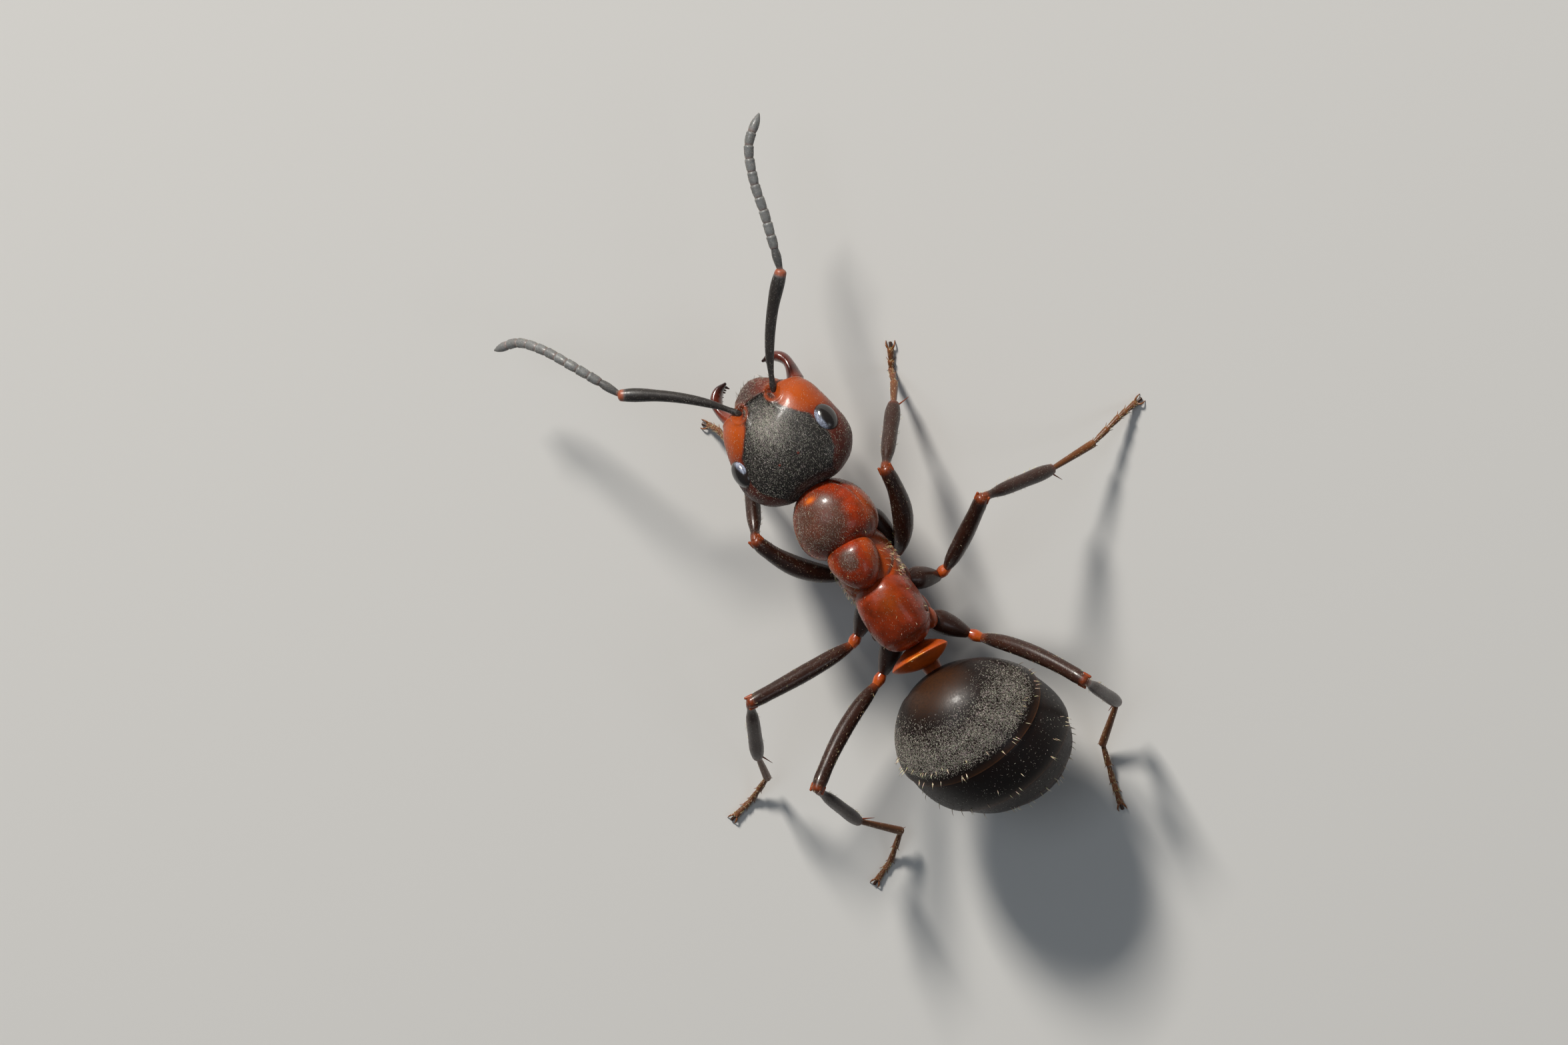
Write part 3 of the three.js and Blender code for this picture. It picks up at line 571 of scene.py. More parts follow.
def head_relief(x, y, top):
    """Height of the head's fine forms at (x, y) in its own plan, where top says how much the place faces up."""
    ax = np.abs(x)
    ahead = step(-y, 0.66, 0.74)
    relief = 0.05 * ahead * (1 - (ax / 0.5) ** 2) + 0.02 * bump(ax, 0.035) * step(-y, 0.7, 0.8)  # clypeus, its keel
    relief = relief - 0.014 * bump(y + 0.68, 0.025) * step(0.36 - ax, 0, 0.1)  # seam behind the clypeus
    relief = relief - 0.035 * bump(ax - 0.46 - 0.25 * (y + 0.75), 0.025) * step(-y, 0.62, 0.7)
    socket = np.hypot(ax - 0.35, (y + 0.62) / 1.15)
    relief = relief - 0.09 * bump(socket, 0.1) + 0.03 * bump(socket - 0.15, 0.028)
    carina = ax - (0.2 + 0.14 * step(y, -0.62, -0.12))
    relief = relief + 0.03 * bump(carina, 0.045) * step(y, -0.74, -0.58) * step(-y, 0.2, 0.42)
    triangle = step(0.24 - 0.62 * (y + 0.68) - ax, 0, 0.04) * step(y, -0.7, -0.66) * step(-y, 0.36, 0.42)
    relief = relief - 0.02 * triangle - 0.012 * bump(ax, 0.014) * step(y, -0.4, -0.34) * step(-y, -0.24, -0.1)
    dimple = bump(np.hypot(x + 0.03, y + 0.28) / 0.12, 1) + 0.6 * bump(np.hypot(x - 0.12, y + 0.1) / 0.1, 1)
    relief = relief - 0.018 * dimple + 0.045 * bump(np.hypot(x * 1.1, y - 0.02) / 0.33, 1)
    relief = relief - 0.035 * bump(np.hypot(x / 0.28, (y + 0.43) / 0.16), 1)
    cheek = bump(np.hypot(ax - 0.6, (y + 0.45) * 0.75), 0.18)
    corner = bump(y + 0.7 - 0.1 * (ax - 0.6), 0.03) * step(ax, 0.52, 0.6)
    return (relief + 0.03 * cheek + 0.035 * corner) * top


def head_shape(v, a):
    wide = profile(v * HEAD_HALF[1], HEAD_PLAN) * rounded(v, HEAD_END_POWER)
    mouthward = np.maximum(0, -v) ** 2
    high = HEAD_HALF[2] * rounded(v, HEAD_SIDE_POWER) * (1 - HEAD_MOUTH_SLIM * mouthward)
    c, s = np.cos(a), np.sin(a)
    norm = (np.abs(c) ** HEAD_SECTION_POWER + np.abs(s) ** HEAD_SECTION_POWER) ** (-1 / HEAD_SECTION_POWER)
    x = c * norm * wide
    y = v * HEAD_HALF[1] - OCCIPUT_DENT * bump(x, 0.35) * step(v, 0.6, 0.95)
    top = step(s * norm, 0.1, 0.5)
    z = s * norm * high + head_relief(x, y, top)
    gula = bump(x, 0.03) * step(-s, 0.5, 0.8) * 0.02
    mouth = step(-s, 0.4, 0.8) * step(-v, 0.35, 0.6) * step(0.42 - np.abs(x), 0, 0.12) * 0.1
    return np.stack([x, y, z + gula + mouth - CLYPEUS_DROP * mouthward], -1)


head_local = closed(220, 180, head_shape)
x, y, z = np.moveaxis(head_local.rings, -1, 0)
ax = np.abs(x)
crown = np.interp(y, [-0.72, -0.64, -0.34, -0.24, -0.04, 0.07, 0.5, 0.75, 1.0],
                  [0.2, 0.3, 0.36, 0.43, 0.6, 0.72, 0.8, 0.74, 0.5])
facing = np.sin(head_local.a)
black = step(crown - ax, -0.03, 0.05) * step(y, -0.76, -0.68) * step(facing, -0.1, 0.25)
temple = step(y, 0.1, 0.5) * step(facing, -0.7, 0.1) * 0.45
# The clypeus is darker in its middle; the dark is shifted to the ant's left as painted shade.
clypeus_dark_and_painted_shade = 0.65 * step(-y, 0.68, 0.78) * bump(x - 0.13, 0.32) * step(facing, 0, 0.3)
cheek_glow = step(-y, -0.15, 0.15) * step(facing, -0.75, -0.1) * step(ax, 0.3, 0.42) * (1 - black)
cheek_glow = cheek_glow * (0.75 + 0.5 * bump(np.hypot(ax - 0.66, y + 0.4), 0.2))
torulus = bump(np.hypot(ax - 0.35, (y + 0.62) / 1.15) - 0.14, 0.04) * step(facing, 0, 0.3)
black = black * (1 - 0.9 * torulus)
cheek_glow = np.maximum(cheek_glow, 0.5 * torulus)
head_local.paint(dark=np.clip(black + temple + clypeus_dark_and_painted_shade, 0, 1), glow=0.85 * cheek_glow)
head = in_head(head_local)
head.local = head_local


def eye_skin(side):
    """A compound eye: an ellipsoid covered by small domed facets."""
    n = np.arange(EYE_FACETS)
    z = 1 - (2 * n + 1) / EYE_FACETS
    swirl = n * np.pi * (3 - 5**0.5)
    seeds = np.stack([np.sqrt(1 - z * z) * np.cos(swirl), np.sqrt(1 - z * z) * np.sin(swirl), z], -1)

    def ball(v, a):
        ring = np.sqrt(np.maximum(0, 1 - v * v))
        p = np.stack([ring * np.cos(a), v, ring * np.sin(a)], -1)
        near = (p.reshape(-1, 3) @ seeds.T).max(1).reshape(v.shape)
        dome = 1 - np.arccos(np.clip(near, -1, 1)) / (2.1 / EYE_FACETS**0.5)
        return p * (1 + 0.012 * dome[..., None]) * EYE_HALF

    skin = closed(150, 110, ball)
    outer = side * np.cos(skin.a) * np.sqrt(1 - skin.v**2)
    ring = np.sqrt(1 - skin.v**2)
    spots = np.stack([ring * np.cos(skin.a), skin.v, ring * np.sin(skin.a)], -1).reshape(-1, 3)
    facet = (spots @ seeds.T).argmax(1).reshape(skin.v.shape)
    # Painted reflection: a pale patch on each eye, its brightness differing from facet to facet, goes into glow.
    sheen = RNG.random(EYE_FACETS)[facet] ** 1.5
    centre, wide, tall = EYE_SHEEN[side]
    patch = step(1 - np.hypot((outer - centre[0]) / wide, (skin.v - centre[1]) / tall), 0, 0.3) * step(np.sin(skin.a), 0, 0.2)
    skin.paint(dark=0.7 * step(outer, 0.3, 0.8), glow=patch * (0.3 + 0.7 * sheen))
    skin = skin.moved(turn("y", -side * EYE_RISE), [side * EYE_AT[0], EYE_AT[1], EYE_AT[2]])
    return in_head(skin)


def ocellus(spot):
    at = np.array(spot)
    ball = lambda v, a: at + 0.034 * np.stack(
        [np.sqrt(1 - v * v) * np.cos(a), v, 0.75 * np.sqrt(1 - v * v) * np.sin(a)], -1)
    return in_head(closed(24, 16, ball).paint(dark=0.3))


OCELLI = [(0, 0.28, 0.6), (0.19, 0.53, 0.555), (-0.19, 0.53, 0.555)]
stand_for("head", [head] + [ocellus(spot) for spot in OCELLI])
eyes = {name: eye_skin(side) for name, side in SIDES.items()}
for name, skin in eyes.items():
    stand_for(f"eye_{name}", [skin])

TEETH = 7


def mandible_skins(name):
    """A sickle-shaped jaw with a toothed inner edge."""
    side = SIDES[name]
    swing = turn("z", side * MANDIBLE_OPEN[name])
    base = np.array(MANDIBLE_BASE)
    bends = [swing @ ((np.array(b) - base) * [side, 1, 1]) + base * [side, 1, 1] for b in MANDIBLE_BENDS]
    path = spline([base * [side, 1, 1], *bends], 44)
    thick = lambda t: profile(t, [(0, 0.28), (0.15, 0.225), (0.35, 0.175), (0.6, 0.19), (0.85, 0.13), (1, 0.05)])
    blade = tube(path, thick, sides=28, flat=1.7, blunt=(0.4, 1.2))
    blade.paint(dark=step(blade.v, 0.2, 0.9) * 0.8, glow=0.6 * step(-blade.v, 0.4, 1))
    made = [blade]
    tangent = unit(np.gradient(path, axis=0))
    for k in range(TEETH):
        at = 0.56 + 0.4 * k / (TEETH - 1)
        i = int(at * (len(path) - 1))
        inward = unit(np.cross([0, 0, side], tangent[i]) * -1)
        root = path[i] + inward * 0.03 + [0, 0, -0.07]
        tip = root + (inward + 0.35 * tangent[i]) * (0.035 if k % 2 else 0.05) + [0, 0, -0.04]
        tooth = tube(spline([root, tip], 6), lambda t: 0.055 * (1 - 0.6 * t), sides=10, blunt=(0.3, 0.8))
        made.append(tooth.paint(dark=0.6))
    return [in_head(skin) for skin in made]


for name in SIDES:
    stand_for(f"mandible_{name}", mandible_skins(name))


def palp(side, points, thick):
    path = spline([np.array(p) * [side, 1, 1] for p in points], 60)
    rings = 5
    beads = lambda t: thick * (1 - 0.25 * t) * (0.82 + 0.18 * np.abs(np.sin(np.pi * rings * t)) ** 0.5)
    return tube(path, beads, sides=10).paint(dark=0.1, glow=0.5)


def mouth_skins():
    """Labrum, lower lip and cheeks' inner pieces, with the feelers of the mouth folded below."""
    def pad(at, half, power=2.4):
        def shape(v, a):
            ring = rounded(v, power)
            return np.array(at) + np.stack([ring * np.cos(a) * half[0], v * half[1], ring * np.sin(a) * half[2]], -1)
        return closed(40, 26, shape)
    made = [
        pad((0, -0.86, -0.34), (0.3, 0.14, 0.1)).paint(dark=0.3, glow=0.4),
        pad((0, -0.66, -0.44), (0.2, 0.3, 0.13)).paint(dark=0.4, glow=0.3),
        pad((0.2, -0.68, -0.42), (0.13, 0.32, 0.12)).paint(dark=0.3, glow=0.4),
        pad((-0.2, -0.68, -0.42), (0.13, 0.32, 0.12)).paint(dark=0.3, glow=0.4),
    ]
    for side in SIDES.values():
        made.append(palp(side, [(0.3, -0.82, -0.46), (0.36, -0.9, -0.62), (0.34, -0.68, -0.74), (0.3, -0.35, -0.72)], 0.06))
        made.append(palp(side, [(0.1, -0.9, -0.5), (0.13, -0.92, -0.62), (0.12, -0.72, -0.68)], 0.05))
    return [in_head(skin) for skin in made]


stand_for("mouthparts", mouth_skins())

# ---------------------------------------------------------------- antennae


def antenna_joints(name):
    joints = [np.array(ANTENNA_SOCKET[name])]
    for pose, length in zip(ANTENNA_POSE[name], [SCAPE_LENGTH, PEDICEL_LENGTH, *FLAGELLUM_LENGTHS]):
        joints.append(joints[-1] + heading(pose, SIDES[name]) * length)
    return joints


def beads(path, count, thick, tip_long=1.5):
    """Antenna rings, the last one longer and pointed."""
    run = np.r_[np.arange(count), count - 1 + tip_long] / (count - 1 + tip_long)
    made = []
    for k, (a, b) in enumerate(zip(run, run[1:])):
        piece = path[int(a * (len(path) - 1)):int(b * (len(path) - 1)) + 1]
        last = k == count - 1
        knots = [(0, 0.8), (0.1, 0.88), (0.7, 1.0), (0.94, 0.98), (1, 0.86)]
        if last:
            knots = [(0, 0.8), (0.1, 0.9), (0.5, 0.9), (0.85, 0.5), (1, 0.22)]
        skin = tube(even(piece, 16), lambda t, n=knots: thick * profile(t, n), sides=18, blunt=(0.15, 0.8 if last else 0.15))
        made.append(skin.paint(dark=0.18, glow=0.2 * bump(skin.v + 1, 0.25)))
    return made


antennae = {}
for name, side in SIDES.items():
    joints = antenna_joints(name)
    scape_path = bowed(joints[0], joints[1], ANTENNA_POSE[name][0][0], SCAPE_BOW, side, 70)
    scape = tube(scape_path, lambda t: profile(t, SCAPE_THICK), sides=24)
    scape.paint(dark=0.9 - 0.7 * step(scape.v, 0.9, 0.98), glow=0.8 * step(scape.v, 0.92, 0.98) + 0.4 * step(-scape.v, 0.9, 1))
    pedicel = tube(spline(joints[1:3], 24), lambda t: profile(t, PEDICEL_THICK), sides=20)
    pedicel.paint(dark=0.6 * step(pedicel.v, -0.9, -0.4), glow=0.8 * step(-pedicel.v, 0.4, 0.9))
    rings = beads(spline(joints[2:], 400), FLAGELLUM_RINGS, BEAD_THICK)
    antennae[name] = [scape, pedicel, *rings]
    stand_for(f"scape_{name}", [scape])
    stand_for(f"pedicel_{name}", [pedicel])
    stand_for(f"flagellum_{name}", rings)

# ---------------------------------------------------------------- trunk


def plate(spec, relief=None, fine=(120, 84)):
    """An egg-shaped plate; relief(x, y, z) raises it, in parts of its half height."""
    half, power = np.array(spec["half"]), spec["power"]

    def shape(v, a):
        ring = np.sqrt(np.maximum(0, 1 - v * v))
        u, w = np.cos(a) * ring, np.sin(a) * ring
        norm = (np.abs(u) ** power + np.abs(v) ** power + np.abs(w) ** power) ** (-1 / power)
        p = np.stack([u * norm, v * norm, w * norm], -1)
        if relief is not None:
            p = p * (1 + relief(*np.moveaxis(p, -1, 0)))[..., None]
        p[..., 0] *= 1 + spec["taper"] * p[..., 1]
        return p * half

    local = closed(*fine, shape)
    skin = local.moved(turn("x", spec["tilt"]), np.array(spec["at"]))
    skin.v, skin.a, skin.local = local.v, local.a, local
    return skin


def pronotum_relief(x, y, z):
    rim = np.hypot(x * 1.02, y) - 0.86
    edge = step(z, 0.05, 0.3) * step(-y, -0.35, 0.1)
    return (-0.035 * bump(rim - 0.05, 0.03) + 0.02 * bump(rim + 0.02, 0.05)) * edge


pronotum = plate(PRONOTUM, pronotum_relief, (160, 110))
x, y, z = np.moveaxis(pronotum.local.rings / PRONOTUM["half"], -1, 0)
patch = step(0.76 - np.hypot(x - 0.2, y - 0.06), -0.16, 0.22) * step(z, 0, 0.3)
# A painted highlight on the pronotum's top, towards its front: lighter warm colour, with the dark patch cleared
# there.
painted_highlight = bump(np.hypot(x - 0.14, (y + 0.5) * 1.8), 0.16)
pronotum.paint(dark=0.75 * patch * (1 - painted_highlight), glow=painted_highlight * step(z, 0, 0.3) + 0.2 * step(np.abs(x), 0.7, 0.95))

mesonotum = plate(MESONOTUM, fine=(120, 84))
x, y, z = np.moveaxis(mesonotum.local.rings / MESONOTUM["half"], -1, 0)
patch = step(0.44 - np.hypot(x - 0.05, (y + 0.42) * 1.1), -0.14, 0.16) * step(z, 0.1, 0.4)
mesonotum.paint(dark=0.8 * patch, glow=0.2 * step(np.abs(x), 0.5, 0.9))


def side_relief(x, y, z):
    groove = y - (-0.15 + 0.5 * z)
    return -0.05 * bump(groove, 0.05) * step(np.abs(x), 0.45, 0.7) - 0.03 * bump(z + 0.35, 0.05) * step(y, -0.1, 0.2)


mesopleura = plate(MESOPLEURA, side_relief, (140, 100))
mesopleura.paint(glow=0.2, dark=0.1 + 0.35 * step(-mesopleura.local.rings[..., 2], 0.25, 0.6))


def propodeum_relief(x, y, z):
    return -0.02 * bump(y - 0.62, 0.06) * step(z, 0.2, 0.5) - 0.03 * bump(z + 0.3 + 0.3 * y, 0.06) * step(np.abs(x), 0.5, 0.8)


propodeum = plate(PROPODEUM, propodeum_relief, (140, 100))
x, y, z = np.moveaxis(propodeum.local.rings / PROPODEUM["half"], -1, 0)
# Darker underneath; a painted highlight on its top, towards the front and the ant's right.
propodeum.paint(dark=0.3 * step(-z, 0.2, 0.7), glow=0.03 + 0.22 * bump(np.hypot(x + 0.25, y + 0.45), 0.35) * step(z, 0.2, 0.6))


def knob(at, half, tilt=0, fine=(30, 20), dark=0.0, glow=0.0):
    """A small rounded form."""
    shape = lambda v, a: np.stack([rounded(v, 2) * np.cos(a), v, rounded(v, 2) * np.sin(a)], -1) * half
    return closed(*fine, shape).moved(turn("x", tilt), np.array(at)).paint(dark=dark, glow=glow)


metanotum = [knob((0.05 + 0.19 * s, 0.26, 2.6), (0.13, 0.1, 0.12), glow=0.3) for s in (1, -1)]
metanotum.append(knob((0.05, 0.27, 2.55), (0.3, 0.11, 0.13), glow=0.1, dark=0.2))
spiracles = [knob((0.02 + 0.52 * s, 0.98, 2.36), (0.03, 0.09, 0.05), tilt=35, dark=0.9) for s in (1, -1)]
lobes = [knob((0.02 + 0.36 * s, 1.22, 1.9), (0.16, 0.2, 0.2), tilt=-20, dark=0.15, glow=0.2) for s in (1, -1)]
chest = [knob((0.05 + 0.2 * s, -0.95, 1.92), (0.3, 0.55, 0.32), tilt=12, fine=(60, 40), dark=0.5) for s in (1, -1)]
belly = [knob((0.03 + 0.22 * s, y0, 1.78), (0.28, 0.36, 0.22), fine=(60, 40), dark=0.5) for s in (1, -1) for y0 in (0.35, 1.02)]

stand_for("pronotum", [pronotum, *chest])
stand_for("mesonotum", [mesonotum])
stand_for("mesopleura", [mesopleura, *metanotum])
stand_for("propodeum", [propodeum, *spiracles, *lobes, *belly])
neck_path = spline([NECK["from"], NECK["to"]], 30)
neck = tube(neck_path, lambda t: NECK["thick"] * (0.8 + 0.3 * t + 0.02 * np.sin(40 * t)), sides=32)
stand_for("neck", [neck.paint(dark=0.4)])


# ---------------------------------------------------------------- petiole and gaster


def scale_skin():
    """The upright scale: lens-shaped in plan, sharp at its crest, with a faint notch."""
    outline = [(0, 0.15), (0.2, 0.24), (0.35, 0.36), (0.55, 0.49), (0.7, 0.54), (0.82, 0.5), (0.93, 0.36), (1, 0.1)]
    depth = [(0, 0.42), (0.3, 0.54), (0.55, 0.5), (0.75, 0.33), (0.9, 0.15), (0.96, 0.075), (1, 0.04)]

    def shape(v, a):
        h = (v + 1) / 2
        wide, thick = profile(h, outline), profile(h, depth) / 2
        end = rounded(v, 8)
        x = np.cos(a) * wide * end
        y = -np.sin(a) * thick * np.abs(np.sin(a)) ** 0.15 * end
        y = y + np.where(y < 0, 0, -0.3 * y) + 0.05 * np.sin(np.pi * h)
        z = -SCALE["root"] + (SCALE["root"] + SCALE["height"]) * h
        z = z - SCALE["notch"] * bump(x, 0.1) * h**6 - 0.1 * (x / 0.54) ** 2 * h**4
        return np.stack([x, y, z], -1)

    local = closed(96, 70, shape)
    skin = local.moved(turn("x", SCALE["lean"]), PETIOLE_AT)
    height = (local.v + 1) / 2
    # Darker towards the root; a painted shade band just under the crest on its front face, and a painted highlight
    # along the crest.
    shade = 0.35 * step(0.25 - height, 0, 0.2) + 0.6 * bump(height - 0.8, 0.12) * step(np.sin(local.a), 0, 0.3)
    return skin.paint(dark=shade, glow=0.8 * step(height, 0.965, 0.99))


petiole = scale_skin()
stand_for("petiole_scale", [petiole])
waist_path = spline([PEDUNCLE["from"], PETIOLE_AT + [0, 0, -0.05], PEDUNCLE["to"]], 40)
waist = tube(waist_path, lambda t: PEDUNCLE["thick"] * (1 - 0.22 * np.sin(np.pi * 2 * t) ** 2), sides=32)
stand_for("peduncle", [waist.paint(dark=0, glow=0.3)])

GASTER_TURNED = turn("z", GASTER_TURN) @ turn("x", -GASTER_DROOP)
TERGITE_TUCK = 0.05  # how far each plate runs in under the one before it


def gaster_radius(f):
    v = 2 * f - 1
    return np.sqrt(np.maximum(0, 1 - v**2)) * (1 - GASTER_EGG * v**3)


def gaster_skin(index):
    """One gaster plate, with a thin rim that stands over the next."""
    first, last = GASTER_CUTS[index], GASTER_CUTS[index + 1]
    start = max(0.0, first - TERGITE_TUCK)
    open_end = last < 1
    t = 0.5 - 0.5 * np.cos(np.pi * np.linspace(0, 1, 72)[1:-1])
    f = start + (last - start) * t
    proud = GASTER_STEP * step(f, first, last) ** 2 if open_end else 0 * f
    tuck = 0.03 * step(first - f, -0.015, 0.015) if first > 0 else 0 * f
    radius = gaster_radius(f) + proud - tuck
    if open_end:
        lip = np.array([[last, radius[-1] - 0.006], [last - 0.002, radius[-1] - 0.022], [last - 0.02, radius[-1] - 0.04],
                        [last - 0.045, radius[-1] - 0.06]])
        f, radius = np.r_[f, lip[:, 0]], np.r_[radius, lip[:, 1]]
    if first > 0:
        inner = np.array([[start + 0.02, radius[0] - 0.05], [start, radius[0] - 0.03]])
        f, radius = np.r_[inner[:, 0], f], np.r_[inner[:, 1], radius]
    a = 2 * np.pi * np.arange(160) / 160
    under = step(-np.sin(a), 0.62, 0.7)[None, :]
    ring = radius[:, None] - 0.022 * under * (gaster_radius(f) > 0.3)[:, None]
    along = (f - 0.5)[:, None] * 2 * GASTER_HALF[1] + 0 * ring
    x = ring * np.cos(a) * GASTER_HALF[0] - GASTER_BEND * f[:, None] ** 2
    local = np.stack([x, along, ring * np.sin(a) * GASTER_HALF[2]], -1)
    poles = [local[0].mean(0), local[-1].mean(0)]
    if first == 0:
        poles[0] = np.array([0, -GASTER_HALF[1], 0])
    if not open_end:
        poles[1] = np.array([-GASTER_BEND, GASTER_HALF[1], 0])
    skin = Skin(local, *poles)
    skin.f = f[:, None] + 0 * ring
    skin.a = a[None, :] + 0 * ring
    rim = 0.3 * step(skin.f, last - 0.05, last - 0.01) + 0.6 * step(skin.f, last - 0.012, last - 0.003) if open_end else 0
    neckline = bump(skin.f, 0.035) if first == 0 else 0
    skin.paint(dark=0.7 - 0.5 * bump(skin.f - first, 0.05) * (first > 0), glow=np.clip(rim + 0.5 * neckline, 0, 1))
    moved = skin.moved(GASTER_TURNED, GASTER_AT)
    moved.f, moved.a = skin.f, skin.a
    return moved


gaster = [gaster_skin(i) for i in range(5)]
nozzle_at = GASTER_TURNED @ np.array([-GASTER_BEND, GASTER_HALF[1] - 0.03, 0]) + GASTER_AT
nozzle = tube(spline([nozzle_at, nozzle_at + GASTER_TURNED @ np.array([0, 0.09, 0])], 10), lambda t: 0.13 - 0.03 * t,
              sides=24, blunt=(0.5, 0.1)).paint(glow=0.5)
for i, skin in enumerate(gaster):
    stand_for(f"gaster_{i + 1}", [skin] + ([nozzle] if i == 4 else []))

# ---------------------------------------------------------------- legs


def leg_joints(name):
    kind, side_name = name.split("_")
    side = SIDES[side_name]
    joints = [np.array(LEGS[kind]["hip"]) * [side, 1, 1]]
    for pose, length in zip(LEG_POSE[name], LEGS[kind]["lengths"]):
        joints.append(joints[-1] + heading(pose, side) * length)
    joints[-1][2] = FOOT_AXIS_HEIGHT
    joints.append(joints[-1] + heading((LEG_POSE[name][-1][0], 0), side) * CLAW_REACH)
    for joint in joints:
        joint[2] = max(joint[2], FOOT_AXIS_HEIGHT)
    return joints


def knee_flanges(path, thick):
    """The two lobes of the femur's end that hold the knee."""
    ahead = unit(path[-1] - path[-4])
    side = unit(np.cross([0, 0, 1], ahead))
    made = []
    for s in (1, -1):
        root = path[-3] + side * s * thick * 0.33
        tip = path[-1] + ahead * 0.06 + side * s * thick * 0.42 - [0, 0, 0.03]
        made.append(tube(spline([root, tip], 8), lambda t: 0.1 * (1 - 0.55 * t), sides=12).paint(glow=0.9))
    return made


def spur(at, direction, length, thick):
    path = spline([at, at + unit(direction) * length], 8)
    return tube(path, lambda t: thick * (1 - 0.9 * t) + 0.004, sides=8).paint(glow=0.7)


def tarsus_skins(joints):
    """Five foot segments, the claws and the pad between them."""
    toe = joints[-1]
    lengths = [(joints[0], joints[1], 0, 1), (joints[1], joints[2], 0, 0.55), (joints[1], joints[2], 0.55, 1),
               (joints[2], joints[3], 0, 0.42), (joints[2], joints[3], 0.42, 1.0)]
    made = []
    for k, (a, b, low, high) in enumerate(lengths):
        start, end = a + (b - a) * low, a + (b - a) * high
        skin = tube(spline([start, end], 14), lambda t: profile(t, TARSOMERE_THICK) * (1.25 if k == 0 else 1.0), sides=14)
        made.append(skin.paint(dark=0.25, glow=0.35 + 0.3 * bump(skin.v - 1, 0.3)))
        if k < 4:
            ahead, side = unit(end - start), unit(np.cross([0, 0, 1], end - start))
            for s in (1, -1):
                made.append(spur(end + side * s * 0.035 - [0, 0, 0.015], ahead + side * s * 0.7 - [0, 0, 0.3], 0.09, 0.016))
    end = joints[3]
    ahead = unit((toe - end) * [1, 1, 0])
    side = np.cross([0, 0, 1], ahead)
    for s in (1, -1):
        bend = end + ahead * 0.08 + side * s * 0.07 + [0, 0, 0.02]
        tip = end + ahead * 0.15 + side * s * 0.075 - [0, 0, end[2] - 0.006]
        made.append(tube(spline([end + side * s * 0.02, bend, tip], 16), lambda t: 0.045 * (1 - 0.8 * t) + 0.003, sides=10).paint(glow=0.6))
    pad_path = spline([end + ahead * 0.03, end + ahead * 0.12 - [0, 0, end[2] - 0.028]], 8)
    made.append(tube(pad_path, lambda t: 0.05 + 0.01 * t, sides=12).paint(dark=0.6))
    return made


legs = {}
for name in LEG_POSE:
    kind, side_name = name.split("_")
    joints = leg_joints(name)
    coxa = tube(spline(joints[0:2], 30), lambda t: profile(t, COXA_THICK), sides=32)
    coxa.paint(dark=0.3 + 0.4 * step(np.sin(coxa.a), -0.6, 0.4), glow=0.08 + 0.5 * step(coxa.v, 0.75, 1))
    trochanter = tube(spline(joints[1:3], 20), lambda t: profile(t, TROCHANTER_THICK), sides=24, blunt=(0.8, 0.8))
    trochanter.paint(glow=0.35 * step(trochanter.v, -0.5, 0.8))
    path = bowed(joints[2], joints[3], LEG_POSE[name][2][0], LEGS[kind]["bow"], SIDES[side_name], 60)
    femur = tube(path, lambda t: profile(t, FEMUR_THICK[kind]), sides=32)
    below = step(-np.sin(femur.a), 0.1, 0.8)
    femur.paint(dark=0.35, glow=np.clip(0.25 * below + 0.8 * step(-femur.v, 0.8, 1) + 0.8 * step(femur.v, 0.93, 1), 0, 1))
    tibia = tube(spline(joints[3:5], 50), lambda t: TIBIA_THICK[kind] * profile(t, TIBIA_SHAPE), sides=28)
    tibia.paint(dark=0.35, glow=np.clip(0.8 * step(-tibia.v, 0.8, 0.95) + 0.4 * step(tibia.v, 0.9, 1), 0, 1))
    down = unit(joints[4] - joints[3])
    across = unit(np.cross([0, 0, 1], down))
    spurs = [spur(joints[4] + across * s * 0.07, down + across * s * 0.8, 0.27, 0.03) for s in SPUR_SIDES[name]]
    tarsus = tarsus_skins(joints[4:])
    legs[name] = {"coxa": coxa, "trochanter": trochanter, "femur": femur, "tibia": tibia, "tarsus": tarsus}
    stand_for(f"coxa_{name}", [coxa])
    stand_for(f"trochanter_{name}", [trochanter])
    stand_for(f"femur_{name}", [femur, *knee_flanges(path, 0.25)])
    stand_for(f"tibia_{name}", [tibia, *spurs])
    stand_for(f"tarsus_{name}", tarsus)

# ---------------------------------------------------------------- coat

coat = Coat("coat_head", "head_cuticle", (1, 1))
x, y, z = np.moveaxis(head_local.rings, -1, 0)
crown_down = bump(np.hypot(x * 1.1, y + 0.1), 0.4) * head_local.dark
furred = 0.08 + 0.3 * head_local.dark + 3.0 * crown_down + 0.2 * step(-y, 0.72, 0.8)
hair_zone = lambda s: step(np.sin(head_local.a), -0.9, 0.2) * furred
# Hairs on the frons are brightened as a painted sheen.
coat.add(head, (0, 0), 18500, 0.032, 0.0048, 12, weight=hair_zone, scatter=0.8,
         painted_sheen=bump(np.hypot(x - 0.02, y + 0.12), 0.34) * head_local.dark)
fringe = lambda s: step(-head_local.rings[..., 1], 0.85, 0.95) * step(np.sin(head_local.a), -0.2, 0.2)
coat.add(head, (0, 0), 22, 0.13, 0.007, 40, weight=fringe, lie=HEAD_TURNED @ [0, -1, 0], scatter=0.5)
coat.finish(DOWN)

